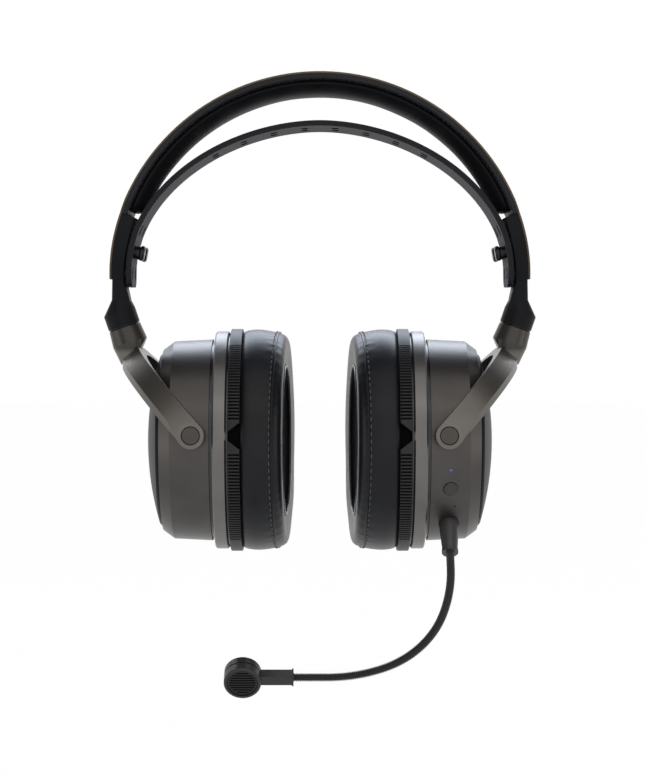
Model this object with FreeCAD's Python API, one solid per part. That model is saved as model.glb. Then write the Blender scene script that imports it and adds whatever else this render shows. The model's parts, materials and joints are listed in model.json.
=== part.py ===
import FreeCAD
import Part
import math
import os

# Wireless over-ear headset with a plug-in boom microphone.
# Millimetres. +X is the wearer's left, -Y is the way the wearer faces, +Z is up.
# The origin is where the crown of the head meets the underside of the suspension strap.
# Everything is drawn for the +X side; the other side is its mirror image.

V = FreeCAD.Vector

# Driving dimensions: headband arch
ARCH_R = 98.0                # outer radius of the steel band
ARCH_RISE = 24.5             # top of the steel band, above the crown point
BAND_THICKNESS = 0.85        # spring steel
BAND_WIDTH = 42.0            # front to back, over the head
BAND_INSET = 0.3             # the steel is this much narrower than the arms and the leather, each side
ARM_TOP_WIDTH = 36.0         # front to back, where the arm meets the leather
ARM_MIDDLE_WIDTH = 31.0      # front to back, level with the strap's studs
ARM_END_WIDTH = 17.0         # front to back, at the arm's lower end
LEATHER_END_DEG = 20.0       # the leather stops this far above the arch's centre
LINER_THICKNESS = 2.5        # leather-wrapped layer under the steel
CUSHION_THICKNESS = 6.2      # at the middle of the width
CUSHION_EDGE_THICKNESS = 1.2 # beside the seams
CUSHION_INSET = 2.0          # the cushion is this much narrower each side
CUSHION_END_DEG = 3.0        # and stops this much short of the leather's ends
CUSHION_END_SLANT_DEG = 35.0 # its ends slope back by this angle
PIECE_GAP = 0.05             # between pieces that lie on each other
OVERSHOOT = 1.0              # how far a cutting solid passes a face

# Arms and their size adjustment
ARM_THICKNESS = 6.5
ARM_CORNER_R = 1.2
ARM_REACH_DEG = 14.0         # the arms are drawn this far below the arch's centre, then cut at the seam
SLIDE_TILT_DEG = 9.0         # the slider runs down and outwards by this angle
SEAM_ALONG = 12.4            # arm's lower end, measured along the slide from its middle
BLADE_THICKNESS = 1.4
BLADE_MARGIN = 2.5           # the blade is this much narrower than the arm's end, each side
BLADE_INSET = 3.3            # blade's middle, from the arm's inner face
BLADE_TOP_ALONG = -16.5
BLADE_EMBED = 6.5            # length of blade held in the slider end
BLADE_CLEARANCE = 0.2

# Suspension strap
STRAP_THICKNESS = 2.5
STRAP_WIDTH = 33.0
STRAP_SIDE_GAP = 0.9         # between the strap's straight ends and the arms
STRAP_SHOULDER = 8.0         # above the arch's centre; below this the strap runs straight down
STRAP_POWER = 1.9            # exponent of the strap's rounded outline
STRAP_PAST_SEAM = 3.1        # its ends reach this far below the arms' lower ends
STRAP_SPLINE_STEPS = 10      # points on each half of the outline
STRAP_END_WIDTH = 28.0
STRAP_TAPER = 23.5           # above the arch's centre; the strap narrows from here down
STRAP_END_CORNER = 6.0
STRAP_HOLE_SPACING = 10.4    # along the strap, three positions at each end
STRAP_HOLE_LENGTH = 6.0
VENT_SPACING = 14.7          # along the strap
VENT_COUNT = 8
VENT_LENGTH = 5.4
VENT_WIDTH = 3.4
VENT_HALF_SPACING = 4.8      # front to back
STUD_DEG = 10.2              # studs stand this far above the arch's centre
STUD_HALF_SPACING = 7.5      # front to back
STUD_R = 1.8
STUD_CLEARANCE = 0.2
STUD_EMBED = 1.4
KNOB_R = 3.5
KNOB_WAIST_R = 2.9
KNOB_HEIGHT = 4.7
KNOB_BORE_DEPTH = 3.0
KNOB_SEAT_GAP = 0.25

# Screws that hold the steel band to the arms
SCREW_ANGLE_DEG = 14.0
SCREW_OFFSET_Y = 10.5
SCREW_R = 1.2
SCREW_HEAD_R = 2.2
SCREW_LENGTH = 5.0
SCREW_HEAD = 1.2

# Swivel between the arm's end and the yoke
SWIVEL_INSET = 6.2           # middle of the parting line, inwards from the steel band's outer radius
SWIVEL_DROP = 19.0           # and below the arch's centre
SWIVEL_TILT_DEG = 19.0       # the axis runs down and inwards by this angle
SWIVEL_GAP = 0.6
PIN_R = 3.0
PIN_HEAD_WIDER = 1.0         # than the pin's shank, all round
PIN_HEAD_THICKNESS = 2.0
PIN_TOP = -7.0               # along the swivel axis, from the parting line
PIN_HEAD_GAP = 0.4           # between the pin's head and the bush
RUNNING_CLEARANCE = 0.05
BUSH_WALL = 1.35
BUSH_END = 12.2
BUSH_FLANGE = 2.95           # its flange is this much wider, all round
HEAD_CLEARANCE = 0.35

# Ear cup
SHELL_R = 47.2               # at the ring end
SHELL_TAPER = 0.9            # it is this much slimmer where its chamfer starts
SHELL_CHAMFER = 3.7          # how far the chamfer comes in
SHELL_START = 1.6            # these are measured outwards from the bronze ring's outer face
SHELL_CHAMFER_START = 19.4
SHELL_CHAMFER_END = 24.5
SHELL_WALL = 2.3
COVER_INSET = 2.1            # the cover is this much smaller than the shell's end
COVER_EDGE_AT = 26.1
COVER_EDGE = 0.9             # bevel round the cover
COVER_APEX = 32.0
COVER_WALL = 2.1
COVER_SEAT_DEPTH = 1.5
COVER_SEAT_WIDTH = 2.0
RING_PROUD = 3.8             # the bronze ring stands this far out from the shell
RING_WIDTH = 6.2
RING_LAP = 1.2               # it laps the shell's end by this much
RING_BEVEL = 0.6
MOUNT_PROUD = 1.0            # the ring that carries the pad stands this far out from the bronze ring
MOUNT_WIDTH = 5.45
MOUNT_GAP = 0.85             # between it and the bronze ring
MOUNT_DEPTH = 14.0           # from its rim to its bore
NOTCH_DEPTH = 3.0
NOTCH_WIDE = 12.4
NOTCH_NARROW = 3.8
NOTCH_UP = 4.2               # above the cup's axis
PAD_FRONT = 18.5             # thickness at the front
PAD_BACK = 24.5              # thickness at the back
PAD_RIM_SIDE = 26.0          # from the rim to the oval opening, at the front and the back
PAD_RIM_END = 18.0           # and at the top and the bottom
PAD_ROUND = 8.0
SCRIM_THICKNESS = 0.6
SCRIM_CLEARANCE = 0.3

# Baffle and planar driver
BAFFLE_INSET = 1.8           # its flange is this much smaller than the bronze ring
BAFFLE_NECK_GAP = 0.2        # between its neck and the ring's bore
BAFFLE_WEB = 2.4             # the face that the driver rests on
BAFFLE_LEDGE = 1.2           # that face reaches this far in past the driver's window
SPIGOT_LENGTH = 2.6
SPIGOT_WALL = 2.3
DRIVER_GAP = 0.2             # round the driver
DRIVER_RIM = 4.2
DRIVER_DEPTH = 8.0
DIAPHRAGM_THICKNESS = 0.4
MAGNET_COUNT = 9
MAGNET_MARGIN = 6.9          # from the outer magnets to the window's rim
MAGNET_WIDTH = 3.4
MAGNET_THICKNESS = 2.6
BRIDGE_WIDTH = 5.0
BRIDGE_THICKNESS = 1.5
DIAPHRAGM_IN = 2.6

# Yoke
PIVOT_OUT = 9.3              # pivot, outwards from the bronze ring's outer face
PIVOT_UP = 4.4               # pivot, above the cup's axis
YOKE_TILT_DEG = 41.5         # the yoke's plane leans outwards by this angle
YOKE_GAP = 1.0               # between the fork's legs and the shell
YOKE_TO_SWIVEL = 11.1        # from the top of the fork up to the swivel, in the fork's plane
YOKE_BEHIND_SWIVEL = 6.9     # and from that plane out to the swivel
YOKE_THICKNESS = 5.0
YOKE_WIDTH = 12.0
YOKE_INNER_HEIGHT = 42.0
YOKE_BRIDGE = 6.1
YOKE_CHAMFER = 2.6
CHAMFER_FADE_UP = 2.0        # the chamfer is gone this far above the pivot
CHAMFER_FADE_SLOPE = 0.26
COLLAR_CUT = 16.5            # where the collar's inner side is cut off at 45 degrees
BOSS_R = 4.8
BOSS_DEPTH = 8.0
PIVOT_R = 2.5
PIVOT_HEAD_R = 4.1
PIVOT_HEAD = 1.6
PIVOT_HEAD_CLEARANCE = 0.2
PIVOT_LENGTH = 11.6
PIVOT_HEAD_LIFT = 0.3

# Controls on the wearer's left cup, at angles round the cup from its lowest point, forwards positive
CONTROL_OUT = 10.5           # outwards from the bronze ring's outer face
MIC_SOCKET_DEG = 38.0
FRONT_BUTTON_DEG = 64.6
LIGHT_DEG = 75.8
PINHOLE_DEG = 52.7
PINHOLE_OUT = 12.7
CHARGE_DEG = -8.0
AUDIO_DEG = -26.0
WHEEL_DEG = -48.0
POWER_DEG = -70.0
BUTTON_R = 3.3
BUTTON_CLEARANCE = 0.15
BUTTON_PROUD = 0.6
BUTTON_DEPTH = 4.6
LIGHT_R = 0.55
LIGHT_DEPTH = 3.2
PINHOLE_R = 0.4
SOCKET_WALL = 1.5
MIC_JACK_R = 1.75
AUDIO_BORE_R = 1.8
SOCKET_LENGTH = 14.0
WHEEL_R = 6.0
WHEEL_THICKNESS = 3.4
WHEEL_PROUD = 1.5
WHEEL_SLOT_CLEARANCE = 0.4
WHEEL_AXLE_R = 0.9
WHEEL_GROOVES = 24
WHEEL_GROOVE_R = 0.35
CHARGE_HALF_WIDTH = 4.55
CHARGE_HALF_HEIGHT = 1.65
CHARGE_WALL = 0.4
CHARGE_LENGTH = 7.5
CHARGE_FLOOR = 1.0
CHARGE_TONGUE = 3.2          # half the tongue's width

# Parts inside the cups
BOARD_MARGIN = 10.0          # from the board's rim to the shell's inside
BOARD_THICKNESS = 1.6
BOARD_AT = 16.5
BATTERY_AT = 11.0
BATTERY_SIZE = (6.5, 34.0, 48.0)
BATTERY_CORNER_R = 2.0
BOARD_CHIPS = ((-9.0, 8.0, 9.0), (8.0, -6.0, 7.0), (6.0, 14.0, 4.0))  # y, z and side of each
CHIP_HEIGHT = 1.0

# Boom microphone
BOOT_SINK = 0.7              # the boot sits this deep in the cup's surface
BOOT_R = 4.45
BOOT_END_R = 3.5
BOOT_LENGTH = 16.5
BOOT_STRAIGHT = 3.0
BOOT_CLEARANCE = 0.35
JACK_LENGTH = 13.0
JACK_TIP = 2.0               # length of the tapered tip
JACK_GROOVES = 3
JACK_RING = 2.4              # from one groove to the next
JACK_GROOVE = 0.25
JACK_SHANK = 8.25            # how far the plug reaches into the boot
NECK_R = 1.9
NECK_START = 8.0             # straight runs and bends of the gooseneck, in order
NECK_SOFT_BEND_R = 70.0
NECK_SOFT_BEND_DEG = 20.0
NECK_BEND_R = 46.2
NECK_BEND_DEG = 50.0
NECK_END = 14.6
STEM_LENGTH = 14.4
STEM_DEEP = 6.1
STEM_TALL = 4.4
STEM_EDGE = 0.5
HEAD_R = 8.1
HEAD_DEPTH = 9.0
HEAD_WALL = 1.2
HEAD_DOWN_DEG = 27.5         # the microphone's front face looks down by this angle
HEAD_GROOVE = 0.35
GRILLE_R = 6.8
GRILLE_THICKNESS = 1.0
GRILLE_RECESS = 0.5
GRILLE_SLOTS = 9
GRILLE_PITCH = 1.25
GRILLE_SLOT = 0.6
CAPSULE_R = 4.8
CAPSULE_DEPTH = 4.0

# Slider end, between the arm and the swivel
NECK_ALONG = 21.2            # middle of its narrowest section, along the slide
NECK_INWARD = 3.05           # and inwards from the blade's line
NECK_HALF_ACROSS = 4.25
NECK_HALF_DEEP = 6.6
NECK_CORNER_R = 2.4
SEAM_INSET = 0.25            # the slider end is this much slimmer than the arm
KNUCKLE_LENGTH = 7.1         # round part, up from the parting line
KNUCKLE_R = 7.65
COLLAR_TOP_R = 7.6
COLLAR_LOW_R = 8.3
COLLAR_WAIST_AT = 8.0
COLLAR_END_AT = 17.0
COLLAR_END_R = 7.2
COLLAR_SINK = 1.5            # it runs this deep into the top of the fork
COLLAR_BEVEL = 0.4
BUSH_FLANGE_TOP = -0.25
BLADE_LENGTH_PLAY = 1.0
PIVOT_EYE_R = 6.0
BOSS_FACE_GAP = 0.3
DRIVER_BAR_AT = 15.0
CONTROL_EDGE = 0.35
BUTTON_FLANGE_OUT = 0.8
BUTTON_FLANGE_GAP = 1.1      # below the shell's inner face
WHEEL_EAR = 1.3
WHEEL_EAR_WIDTH = 5.0
BOOT_LIP = 1.6
BOOT_LIP_PROUD = 0.25
STEM_LIP = 0.7

# Worked out from the driving dimensions
ORIGIN = V(0, 0, 0)
X_AXIS, Y_AXIS, Z_AXIS = V(1, 0, 0), V(0, 1, 0), V(0, 0, 1)
ARCH_CENTRE_Z = ARCH_RISE - ARCH_R
ARCH_CENTRE = V(0, 0, ARCH_CENTRE_Z)
BAND_INNER_R = ARCH_R - BAND_THICKNESS
ARM_OUTER_R = BAND_INNER_R - PIECE_GAP
ARM_INNER_R = ARM_OUTER_R - ARM_THICKNESS
BLADE_R = ARM_INNER_R + BLADE_INSET
BLADE_WIDTH = ARM_END_WIDTH - 2 * BLADE_MARGIN
STRAP_HALF_SPAN = ARM_INNER_R - STRAP_SIDE_GAP
STRAP_SHOULDER_Z = ARCH_CENTRE_Z + STRAP_SHOULDER
STRAP_TAPER_Z = ARCH_CENTRE_Z + STRAP_TAPER
SWIVEL_X = ARCH_R - SWIVEL_INSET
SWIVEL_Z = ARCH_CENTRE_Z - SWIVEL_DROP
BUSH_R = PIN_R + RUNNING_CLEARANCE + BUSH_WALL
PIN_HEAD_R = PIN_R + PIN_HEAD_WIDER
PIN_HEAD_AT = BUSH_END + PIN_HEAD_GAP + PIN_HEAD_THICKNESS
LINER_INNER_R = BAND_INNER_R - PIECE_GAP - LINER_THICKNESS
CUSHION_OUTER_R = LINER_INNER_R - PIECE_GAP
SHELL_OUTER_R = SHELL_R - SHELL_TAPER
SHELL_END_R = SHELL_OUTER_R - SHELL_CHAMFER
SHELL_INNER_R = SHELL_R - SHELL_WALL
COVER_R = SHELL_END_R - COVER_INSET
COVER_EDGE_R = COVER_R - COVER_EDGE
RING_R = SHELL_R + RING_PROUD
RING_BORE_R = SHELL_R - RING_LAP
MOUNT_R = RING_R + MOUNT_PROUD
MOUNT_BORE_R = MOUNT_R - MOUNT_DEPTH
MOUNT_OUTER_AT = -RING_WIDTH - MOUNT_GAP
MOUNT_INNER_AT = MOUNT_OUTER_AT - MOUNT_WIDTH
PAD_OUTER_AT = MOUNT_INNER_AT - PIECE_GAP
PAD_R = MOUNT_R
PAD_HOLE_HALF_Y = PAD_R - PAD_RIM_SIDE
PAD_HOLE_HALF_Z = PAD_R - PAD_RIM_END
BAFFLE_FLANGE_R = RING_R - BAFFLE_INSET
BAFFLE_NECK_R = RING_BORE_R - BAFFLE_NECK_GAP
BAFFLE_BORE_R = SHELL_INNER_R - SPIGOT_WALL
DRIVER_R = BAFFLE_BORE_R - DRIVER_GAP
DRIVER_WINDOW_R = DRIVER_R - DRIVER_RIM
BAFFLE_WEB_R = DRIVER_WINDOW_R - BAFFLE_LEDGE
MAGNET_PITCH = (2 * (DRIVER_WINDOW_R - MAGNET_MARGIN) - MAGNET_WIDTH) / (MAGNET_COUNT - 1)
BOARD_R = SHELL_OUTER_R - SHELL_WALL - BOARD_MARGIN
YOKE_INNER_HALF = SHELL_R + YOKE_GAP
YOKE_OUTER_HALF = YOKE_INNER_HALF + YOKE_THICKNESS
YOKE_HEIGHT = YOKE_INNER_HEIGHT + YOKE_BRIDGE
STRAP_RISE = STRAP_THICKNESS - STRAP_SHOULDER_Z
TOUCHING = 1e-6
BIG = 400.0


def tilted(degrees):
    """The direction that leans from +Z towards +X by an angle."""
    return V(math.sin(math.radians(degrees)), 0, math.cos(math.radians(degrees)))


YOKE_UP = tilted(YOKE_TILT_DEG)
YOKE_OUT = tilted(YOKE_TILT_DEG + 90)
SWIVEL_AT = V(SWIVEL_X, 0, SWIVEL_Z)
PIVOT = SWIVEL_AT - YOKE_UP * (YOKE_HEIGHT + YOKE_TO_SWIVEL) + YOKE_OUT * YOKE_BEHIND_SWIVEL
CUP_CENTRE = PIVOT - X_AXIS * PIVOT_OUT - Z_AXIS * PIVOT_UP
SWIVEL_DOWN = tilted(SWIVEL_TILT_DEG + 180)
SWIVEL_IN = tilted(SWIVEL_TILT_DEG - 90)
SLIDE_DOWN = tilted(180 - SLIDE_TILT_DEG)
SLIDE_IN = tilted(-90 - SLIDE_TILT_DEG)
SLIDE_MIDDLE = ARCH_CENTRE - SLIDE_IN * BLADE_R
SEAM = SLIDE_MIDDLE + SLIDE_DOWN * SEAM_ALONG
STRAP_END_Z = SEAM.z - STRAP_PAST_SEAM
HEAD_FRONT = V(0, -math.cos(math.radians(HEAD_DOWN_DEG)), -math.sin(math.radians(HEAD_DOWN_DEG)))


def outline_edges(path, place):
    """Edges through 2-D points. A pair of points in the path is an arc: (through, end)."""
    edges = []
    first = place(*path[0])
    start = first
    for step in path[1:]:
        if isinstance(step[0], tuple):
            through, end = place(*step[0]), place(*step[1])
            edges.append(Part.Arc(start, through, end).toShape())
        else:
            end = place(*step)
            edges.append(Part.LineSegment(start, end).toShape())
        start = end
    if start.distanceToPoint(first) > TOUCHING:
        edges.append(Part.LineSegment(start, first).toShape())
    return edges


def face_of(path, place):
    return Part.Face(Part.Wire(outline_edges(path, place)))


def turned(path, centre, axis, radial):
    """A solid of revolution. path gives (distance along the axis, radius)."""
    face = face_of(path, lambda along, radius: centre + axis * along + radial * radius)
    return face.revolve(centre, axis, 360)


def cup_turned(path):
    return turned(path, CUP_CENTRE, X_AXIS, Z_AXIS)


def rod(start, direction, low, high, radius):
    """A cylinder from low to high along a direction from a point."""
    return Part.makeCylinder(radius, high - low, start + direction * low, direction)


def tube(start, direction, low, high, outer, inner):
    return rod(start, direction, low, high, outer).cut(rod(start, direction, low, high, inner))


def beyond(point, normal):
    """Everything on the far side of a plane, as a large block."""
    block = Part.makeBox(BIG, BIG, BIG, V(-BIG / 2, -BIG / 2, 0))
    block.Placement = FreeCAD.Placement(point, FreeCAD.Rotation(Z_AXIS, normal))
    return block


def bar(middle, along, across, length, width, thickness):
    """A box centred on a point, its length and width along two given directions."""
    face = Part.Face(Part.makePolygon([
        middle + along * (length * i / 2) + across * (width * j / 2)
        for i, j in [(-1, -1), (1, -1), (1, 1), (-1, 1), (-1, -1)]
    ]))
    third = along.cross(across)
    face.translate(third * (-thickness / 2))
    return face.extrude(third * thickness)


def rounded_outline(half_a, half_b, corner):
    """A rounded rectangle about (0, 0), as a path."""
    a, b = half_a - corner, half_b - corner
    mid = corner * math.sqrt(0.5)
    return [
        (half_a, -b),
        (half_a, b),
        ((a + mid, b + mid), (a, half_b)),
        (-a, half_b),
        ((-a - mid, b + mid), (-half_a, b)),
        (-half_a, -b),
        ((-a - mid, -b - mid), (-a, -half_b)),
        (a, -half_b),
        ((a + mid, -b - mid), (half_a, -b)),
    ]


def rounded_section(centre, across, deep, half_across, half_deep, corner):
    path = rounded_outline(half_across, half_deep, corner)
    return Part.Wire(outline_edges(path, lambda a, b: centre + across * a + deep * b))


def rounded_bar(start, direction, across, low, high, half_across, half_deep, corner):
    """A rounded bar that runs from low to high along a direction."""
    deep = direction.cross(across)
    section = rounded_section(start + direction * low, across, deep, half_across, half_deep, corner)
    return Part.Face(section).extrude(direction * (high - low))


def mirrored(shape):
    return shape.mirror(ORIGIN, X_AXIS)


def both_sides(*shapes):
    return Part.makeCompound([*shapes, *[mirrored(shape) for shape in shapes]])


def softened(shape, radius, wanted):
    """Rounds the edges whose middle point passes a test."""
    edges = [edge for edge in shape.Edges if wanted(edge.valueAt(middle_of(edge)))]
    return shape.makeFillet(radius, edges)


def middle_of(edge):
    return (edge.FirstParameter + edge.LastParameter) / 2


# Headband

def arch_point(radius, degrees):
    angle = math.radians(degrees)
    return (radius * math.cos(angle), ARCH_CENTRE_Z + radius * math.sin(angle))


def arch_sector(inner, outer, low, high):
    """A wide piece of the arch between two radii and two angles above its centre."""
    middle = (low + high) / 2
    path = [
        arch_point(inner, low),
        arch_point(outer, low),
        (arch_point(outer, middle), arch_point(outer, high)),
        arch_point(inner, high),
        (arch_point(inner, middle), arch_point(inner, low)),
    ]
    face = face_of(path, lambda x, z: V(x, -BAND_WIDTH, z))
    return face.extrude(Y_AXIS * (2 * BAND_WIDTH))


def seen_from_side(path):
    """A front-to-back outline in Y and Z, made solid across the whole headset."""
    both = path + [mirror_step(step) for step in reversed_steps(path)]
    face = face_of(both, lambda y, z: V(-BIG / 2, y, z))
    return face.extrude(X_AXIS * BIG)


def mirror_step(step):
    if isinstance(step[0], tuple):
        return tuple((-y, z) for y, z in step)
    return (-step[0], step[1])


def reversed_steps(path):
    """The same path walked backwards, arcs included."""
    ends = [step[1] if isinstance(step[0], tuple) else step for step in path]
    steps = [ends[-1]]
    for index in range(len(path) - 1, 0, -1):
        step = path[index]
        back = ends[index - 1]
        steps.append((step[0], back) if isinstance(step[0], tuple) else back)
    return steps


def band_outline(inset):
    """Wide over the head, tapering down the arms."""
    shoulder = arch_point(ARCH_R, LEATHER_END_DEG)[1]
    stud = arch_point(ARCH_R, STUD_DEG)[1]
    widening = (BAND_WIDTH - ARM_TOP_WIDTH) / 2
    return seen_from_side([
        (ARM_END_WIDTH / 2 - inset, SWIVEL_Z),
        (ARM_END_WIDTH / 2 - inset, SEAM.z),
        ((ARM_MIDDLE_WIDTH / 2 - inset, stud), (ARM_TOP_WIDTH / 2 - inset, shoulder)),
        (BAND_WIDTH / 2 - inset, shoulder + 2 * widening),
        (BAND_WIDTH / 2 - inset, ARCH_CENTRE_Z + ARCH_R + widening),
    ])


def screw_axis(side):
    """Where a band screw starts, on the arch's axis, and its outward direction."""
    return V(0, side * SCREW_OFFSET_Y, ARCH_CENTRE_Z), tilted(90 - SCREW_ANGLE_DEG)


def arm_screw_holes():
    low, high = ARM_INNER_R - OVERSHOOT, ARCH_R + OVERSHOOT
    return [rod(*screw_axis(side), low, high, SCREW_R) for side in (-1, 1)]


def headband_spring():
    band = arch_sector(BAND_INNER_R, ARCH_R, -ARM_REACH_DEG, 180 + ARM_REACH_DEG)
    band = band.common(band_outline(BAND_INSET))
    low = beyond(SEAM, SLIDE_DOWN)
    return band.cut([low, mirrored(low), *arm_screw_holes(), *[mirrored(h) for h in arm_screw_holes()]])


def headband_liner():
    low, high = LEATHER_END_DEG, 180 - LEATHER_END_DEG
    return arch_sector(LINER_INNER_R, BAND_INNER_R - PIECE_GAP, low, high).common(band_outline(0))


def headband_cushion():
    """A crowned pad, thickest along its middle, with ends that slope back from the strap."""
    half = BAND_WIDTH / 2 - CUSHION_INSET
    edge_r = CUSHION_OUTER_R - CUSHION_EDGE_THICKNESS
    crown_r = CUSHION_OUTER_R - CUSHION_THICKNESS
    face = face_of(
        [(half, CUSHION_OUTER_R), (half, edge_r), ((0, crown_r), (-half, edge_r)), (-half, CUSHION_OUTER_R)],
        lambda y, radius: ARCH_CENTRE + V(radius, y, 0),
    )
    end = LEATHER_END_DEG + CUSHION_END_DEG
    face.rotate(ARCH_CENTRE, Y_AXIS, -end)
    cushion = face.revolve(ARCH_CENTRE, Y_AXIS, -(180 - 2 * end))
    x, z = arch_point(CUSHION_OUTER_R, end)
    slope = beyond(V(x, 0, z), tilted(180 - end + CUSHION_END_SLANT_DEG))
    return cushion.cut([slope, mirrored(slope)])


def stud_rod(low, high, radius, row):
    return rod(V(0, row * STUD_HALF_SPACING, ARCH_CENTRE_Z), tilted(90 - STUD_DEG), low, high, radius)


def arm():
    body = arch_sector(ARM_INNER_R, ARM_OUTER_R, -ARM_REACH_DEG, LEATHER_END_DEG)
    body = body.common(band_outline(0)).cut(beyond(SEAM, SLIDE_DOWN))
    near = ARM_INNER_R + ARM_CORNER_R / 2
    body = softened(body, ARM_CORNER_R, lambda p: from_arch(p) < near and abs(p.y) > ARM_CORNER_R)
    return body.cut([blade_channel(), *arm_screw_holes(), *screw_head_pockets(), *stud_sockets()])


def from_arch(point):
    """Distance from the arch's axis."""
    return math.hypot(point.x, point.z - ARCH_CENTRE_Z)


def blade_channel():
    low = BLADE_TOP_ALONG - BLADE_LENGTH_PLAY
    high = SEAM_ALONG + OVERSHOOT
    middle = SLIDE_MIDDLE + SLIDE_DOWN * ((low + high) / 2)
    width = BLADE_WIDTH + 2 * BLADE_CLEARANCE
    return bar(middle, SLIDE_DOWN, Y_AXIS, high - low, width, BLADE_THICKNESS + 2 * BLADE_CLEARANCE)


def screw_head_pockets():
    seat = ARCH_R - BAND_THICKNESS / 2 - SCREW_LENGTH
    low = ARM_INNER_R - OVERSHOOT
    return [rod(*screw_axis(side), low, seat, SCREW_HEAD_R + PIECE_GAP) for side in (-1, 1)]


def stud_sockets():
    return [stud_rod(ARM_INNER_R - OVERSHOOT, ARM_INNER_R + STUD_EMBED, STUD_R, row) for row in (-1, 1)]


def arm_screws():
    """Pan-head screws from inside the arm into the steel band."""
    tip = ARCH_R - PIECE_GAP
    seat = ARCH_R - BAND_THICKNESS / 2 - SCREW_LENGTH
    screws = []
    for side in (-1, 1):
        shank = rod(*screw_axis(side), seat - PIECE_GAP, tip, SCREW_R)
        head = rod(*screw_axis(side), seat - SCREW_HEAD, seat, SCREW_HEAD_R)
        screws.append(head.fuse(shank).removeSplitter())
    return both_sides(*screws)


# Suspension strap

def strap_point(degrees, inset):
    """A point of the strap's outline, from its right shoulder (0) over the top to the left (180)."""
    across, up = math.cos(math.radians(degrees)), math.sin(math.radians(degrees))
    share_x = abs(across) ** (2 / STRAP_POWER)
    share_z = abs(up) ** (2 / STRAP_POWER)
    normal = V(share_x ** (STRAP_POWER - 1) / STRAP_HALF_SPAN, 0, share_z ** (STRAP_POWER - 1) / STRAP_RISE)
    normal.normalize()
    side = 1 if across > 0 else -1
    x = STRAP_HALF_SPAN * share_x - normal.x * inset
    return V(side * x, 0, STRAP_SHOULDER_Z + STRAP_RISE * share_z - normal.z * inset)


def strap_curve(inset):
    count = 2 * STRAP_SPLINE_STEPS
    points = [strap_point(180 * i / count, inset) for i in range(count + 1)]
    curve = Part.BSplineCurve()
    curve.interpolate(Points=points)
    return curve.toShape()


def suspension_strap():
    outer, inner = strap_curve(0), strap_curve(STRAP_THICKNESS)
    ends = []
    for side in (1, -1):
        x_out, x_in = side * STRAP_HALF_SPAN, side * (STRAP_HALF_SPAN - STRAP_THICKNESS)
        top, low = STRAP_SHOULDER_Z, STRAP_END_Z
        points = [V(x_out, 0, top), V(x_out, 0, low), V(x_in, 0, low), V(x_in, 0, top)]
        ends += [Part.LineSegment(a, b).toShape() for a, b in zip(points, points[1:])]
    face = Part.Face(Part.Wire(Part.__sortEdges__([outer, inner, *ends])))
    face.translate(Y_AXIS * -BAND_WIDTH)
    strap = face.extrude(Y_AXIS * (2 * BAND_WIDTH))
    return strap.common(strap_outline()).cut(strap_holes())


def strap_outline():
    wide, narrow, corner = STRAP_WIDTH / 2, STRAP_END_WIDTH / 2, STRAP_END_CORNER
    mid = corner * (1 - math.sqrt(0.5))
    return seen_from_side([
        (narrow - corner, STRAP_END_Z),
        ((narrow - mid, STRAP_END_Z + mid), (narrow, STRAP_END_Z + corner)),
        (wide, STRAP_TAPER_Z),
        (wide, STRAP_THICKNESS + OVERSHOOT),
    ])


def strap_holes():
    """Fastening holes, three rows at each end, and vent slots over the head."""
    holes = []
    reach = STRAP_HALF_SPAN + OVERSHOOT
    stud_z = arch_point(ARM_INNER_R, STUD_DEG)[1]
    for row in (-1, 1):
        for step in (-1, 0, 1):
            start = V(-reach, row * STUD_HALF_SPACING, stud_z + step * STRAP_HOLE_SPACING)
            half = STUD_R + STUD_CLEARANCE
            holes.append(rounded_bar(start, X_AXIS, Y_AXIS, 0, 2 * reach, half, STRAP_HOLE_LENGTH / 2,
                                     half - PIECE_GAP))
    edge = strap_curve(STRAP_THICKNESS / 2)
    for index in range(VENT_COUNT):
        along = edge.Length / 2 + (index - (VENT_COUNT - 1) / 2) * VENT_SPACING
        place = edge.getParameterByLength(along)
        for row in (-1, 1):
            middle = edge.valueAt(place) + Y_AXIS * (row * VENT_HALF_SPACING)
            tangent = edge.tangentAt(place)
            outwards, deep = tangent.cross(Y_AXIS), STRAP_THICKNESS
            wide, long = VENT_WIDTH / 2, VENT_LENGTH / 2
            holes.append(rounded_bar(middle, outwards, Y_AXIS, -deep, deep, wide, long, wide - PIECE_GAP))
    return holes


def strap_inner_radius():
    """How far the strap's inner face is from the arch's centre, along a stud."""
    ray = Part.makeLine(ARCH_CENTRE, ARCH_CENTRE + tilted(90 - STUD_DEG) * ARCH_R)
    return ray.distToShape(strap_curve(STRAP_THICKNESS))[1][0][0].distanceToPoint(ARCH_CENTRE)


def strap_studs():
    low = strap_inner_radius() - KNOB_BORE_DEPTH
    return both_sides(*[stud_rod(low, ARM_INNER_R + STUD_EMBED, STUD_R, row) for row in (-1, 1)])


def strap_knobs():
    """Round knobs with a waist, which hold the strap on its studs."""
    seat = strap_inner_radius() - KNOB_SEAT_GAP
    top = seat - KNOB_HEIGHT
    axis = tilted(90 - STUD_DEG)
    edge = KNOB_R - KNOB_WAIST_R
    knobs = []
    for row in (-1, 1):
        start = V(0, row * STUD_HALF_SPACING, ARCH_CENTRE_Z)
        body = turned([
            (top, 0), (top, KNOB_R - edge), (top + edge, KNOB_R), (top + 3 * edge, KNOB_R),
            (top + 4 * edge, KNOB_WAIST_R), (seat, KNOB_WAIST_R), (seat, 0),
        ], start, axis, Y_AXIS)
        bore_end = seat + KNOB_SEAT_GAP - KNOB_BORE_DEPTH
        knobs.append(body.cut(stud_rod(bore_end, seat + OVERSHOOT, STUD_R, row)))
    return both_sides(*knobs)


# Slider

def slider_blade():
    low, high = BLADE_TOP_ALONG, SEAM_ALONG + BLADE_EMBED
    middle = SLIDE_MIDDLE + SLIDE_DOWN * ((low + high) / 2)
    return bar(middle, SLIDE_DOWN, Y_AXIS, high - low, BLADE_WIDTH, BLADE_THICKNESS)


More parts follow.
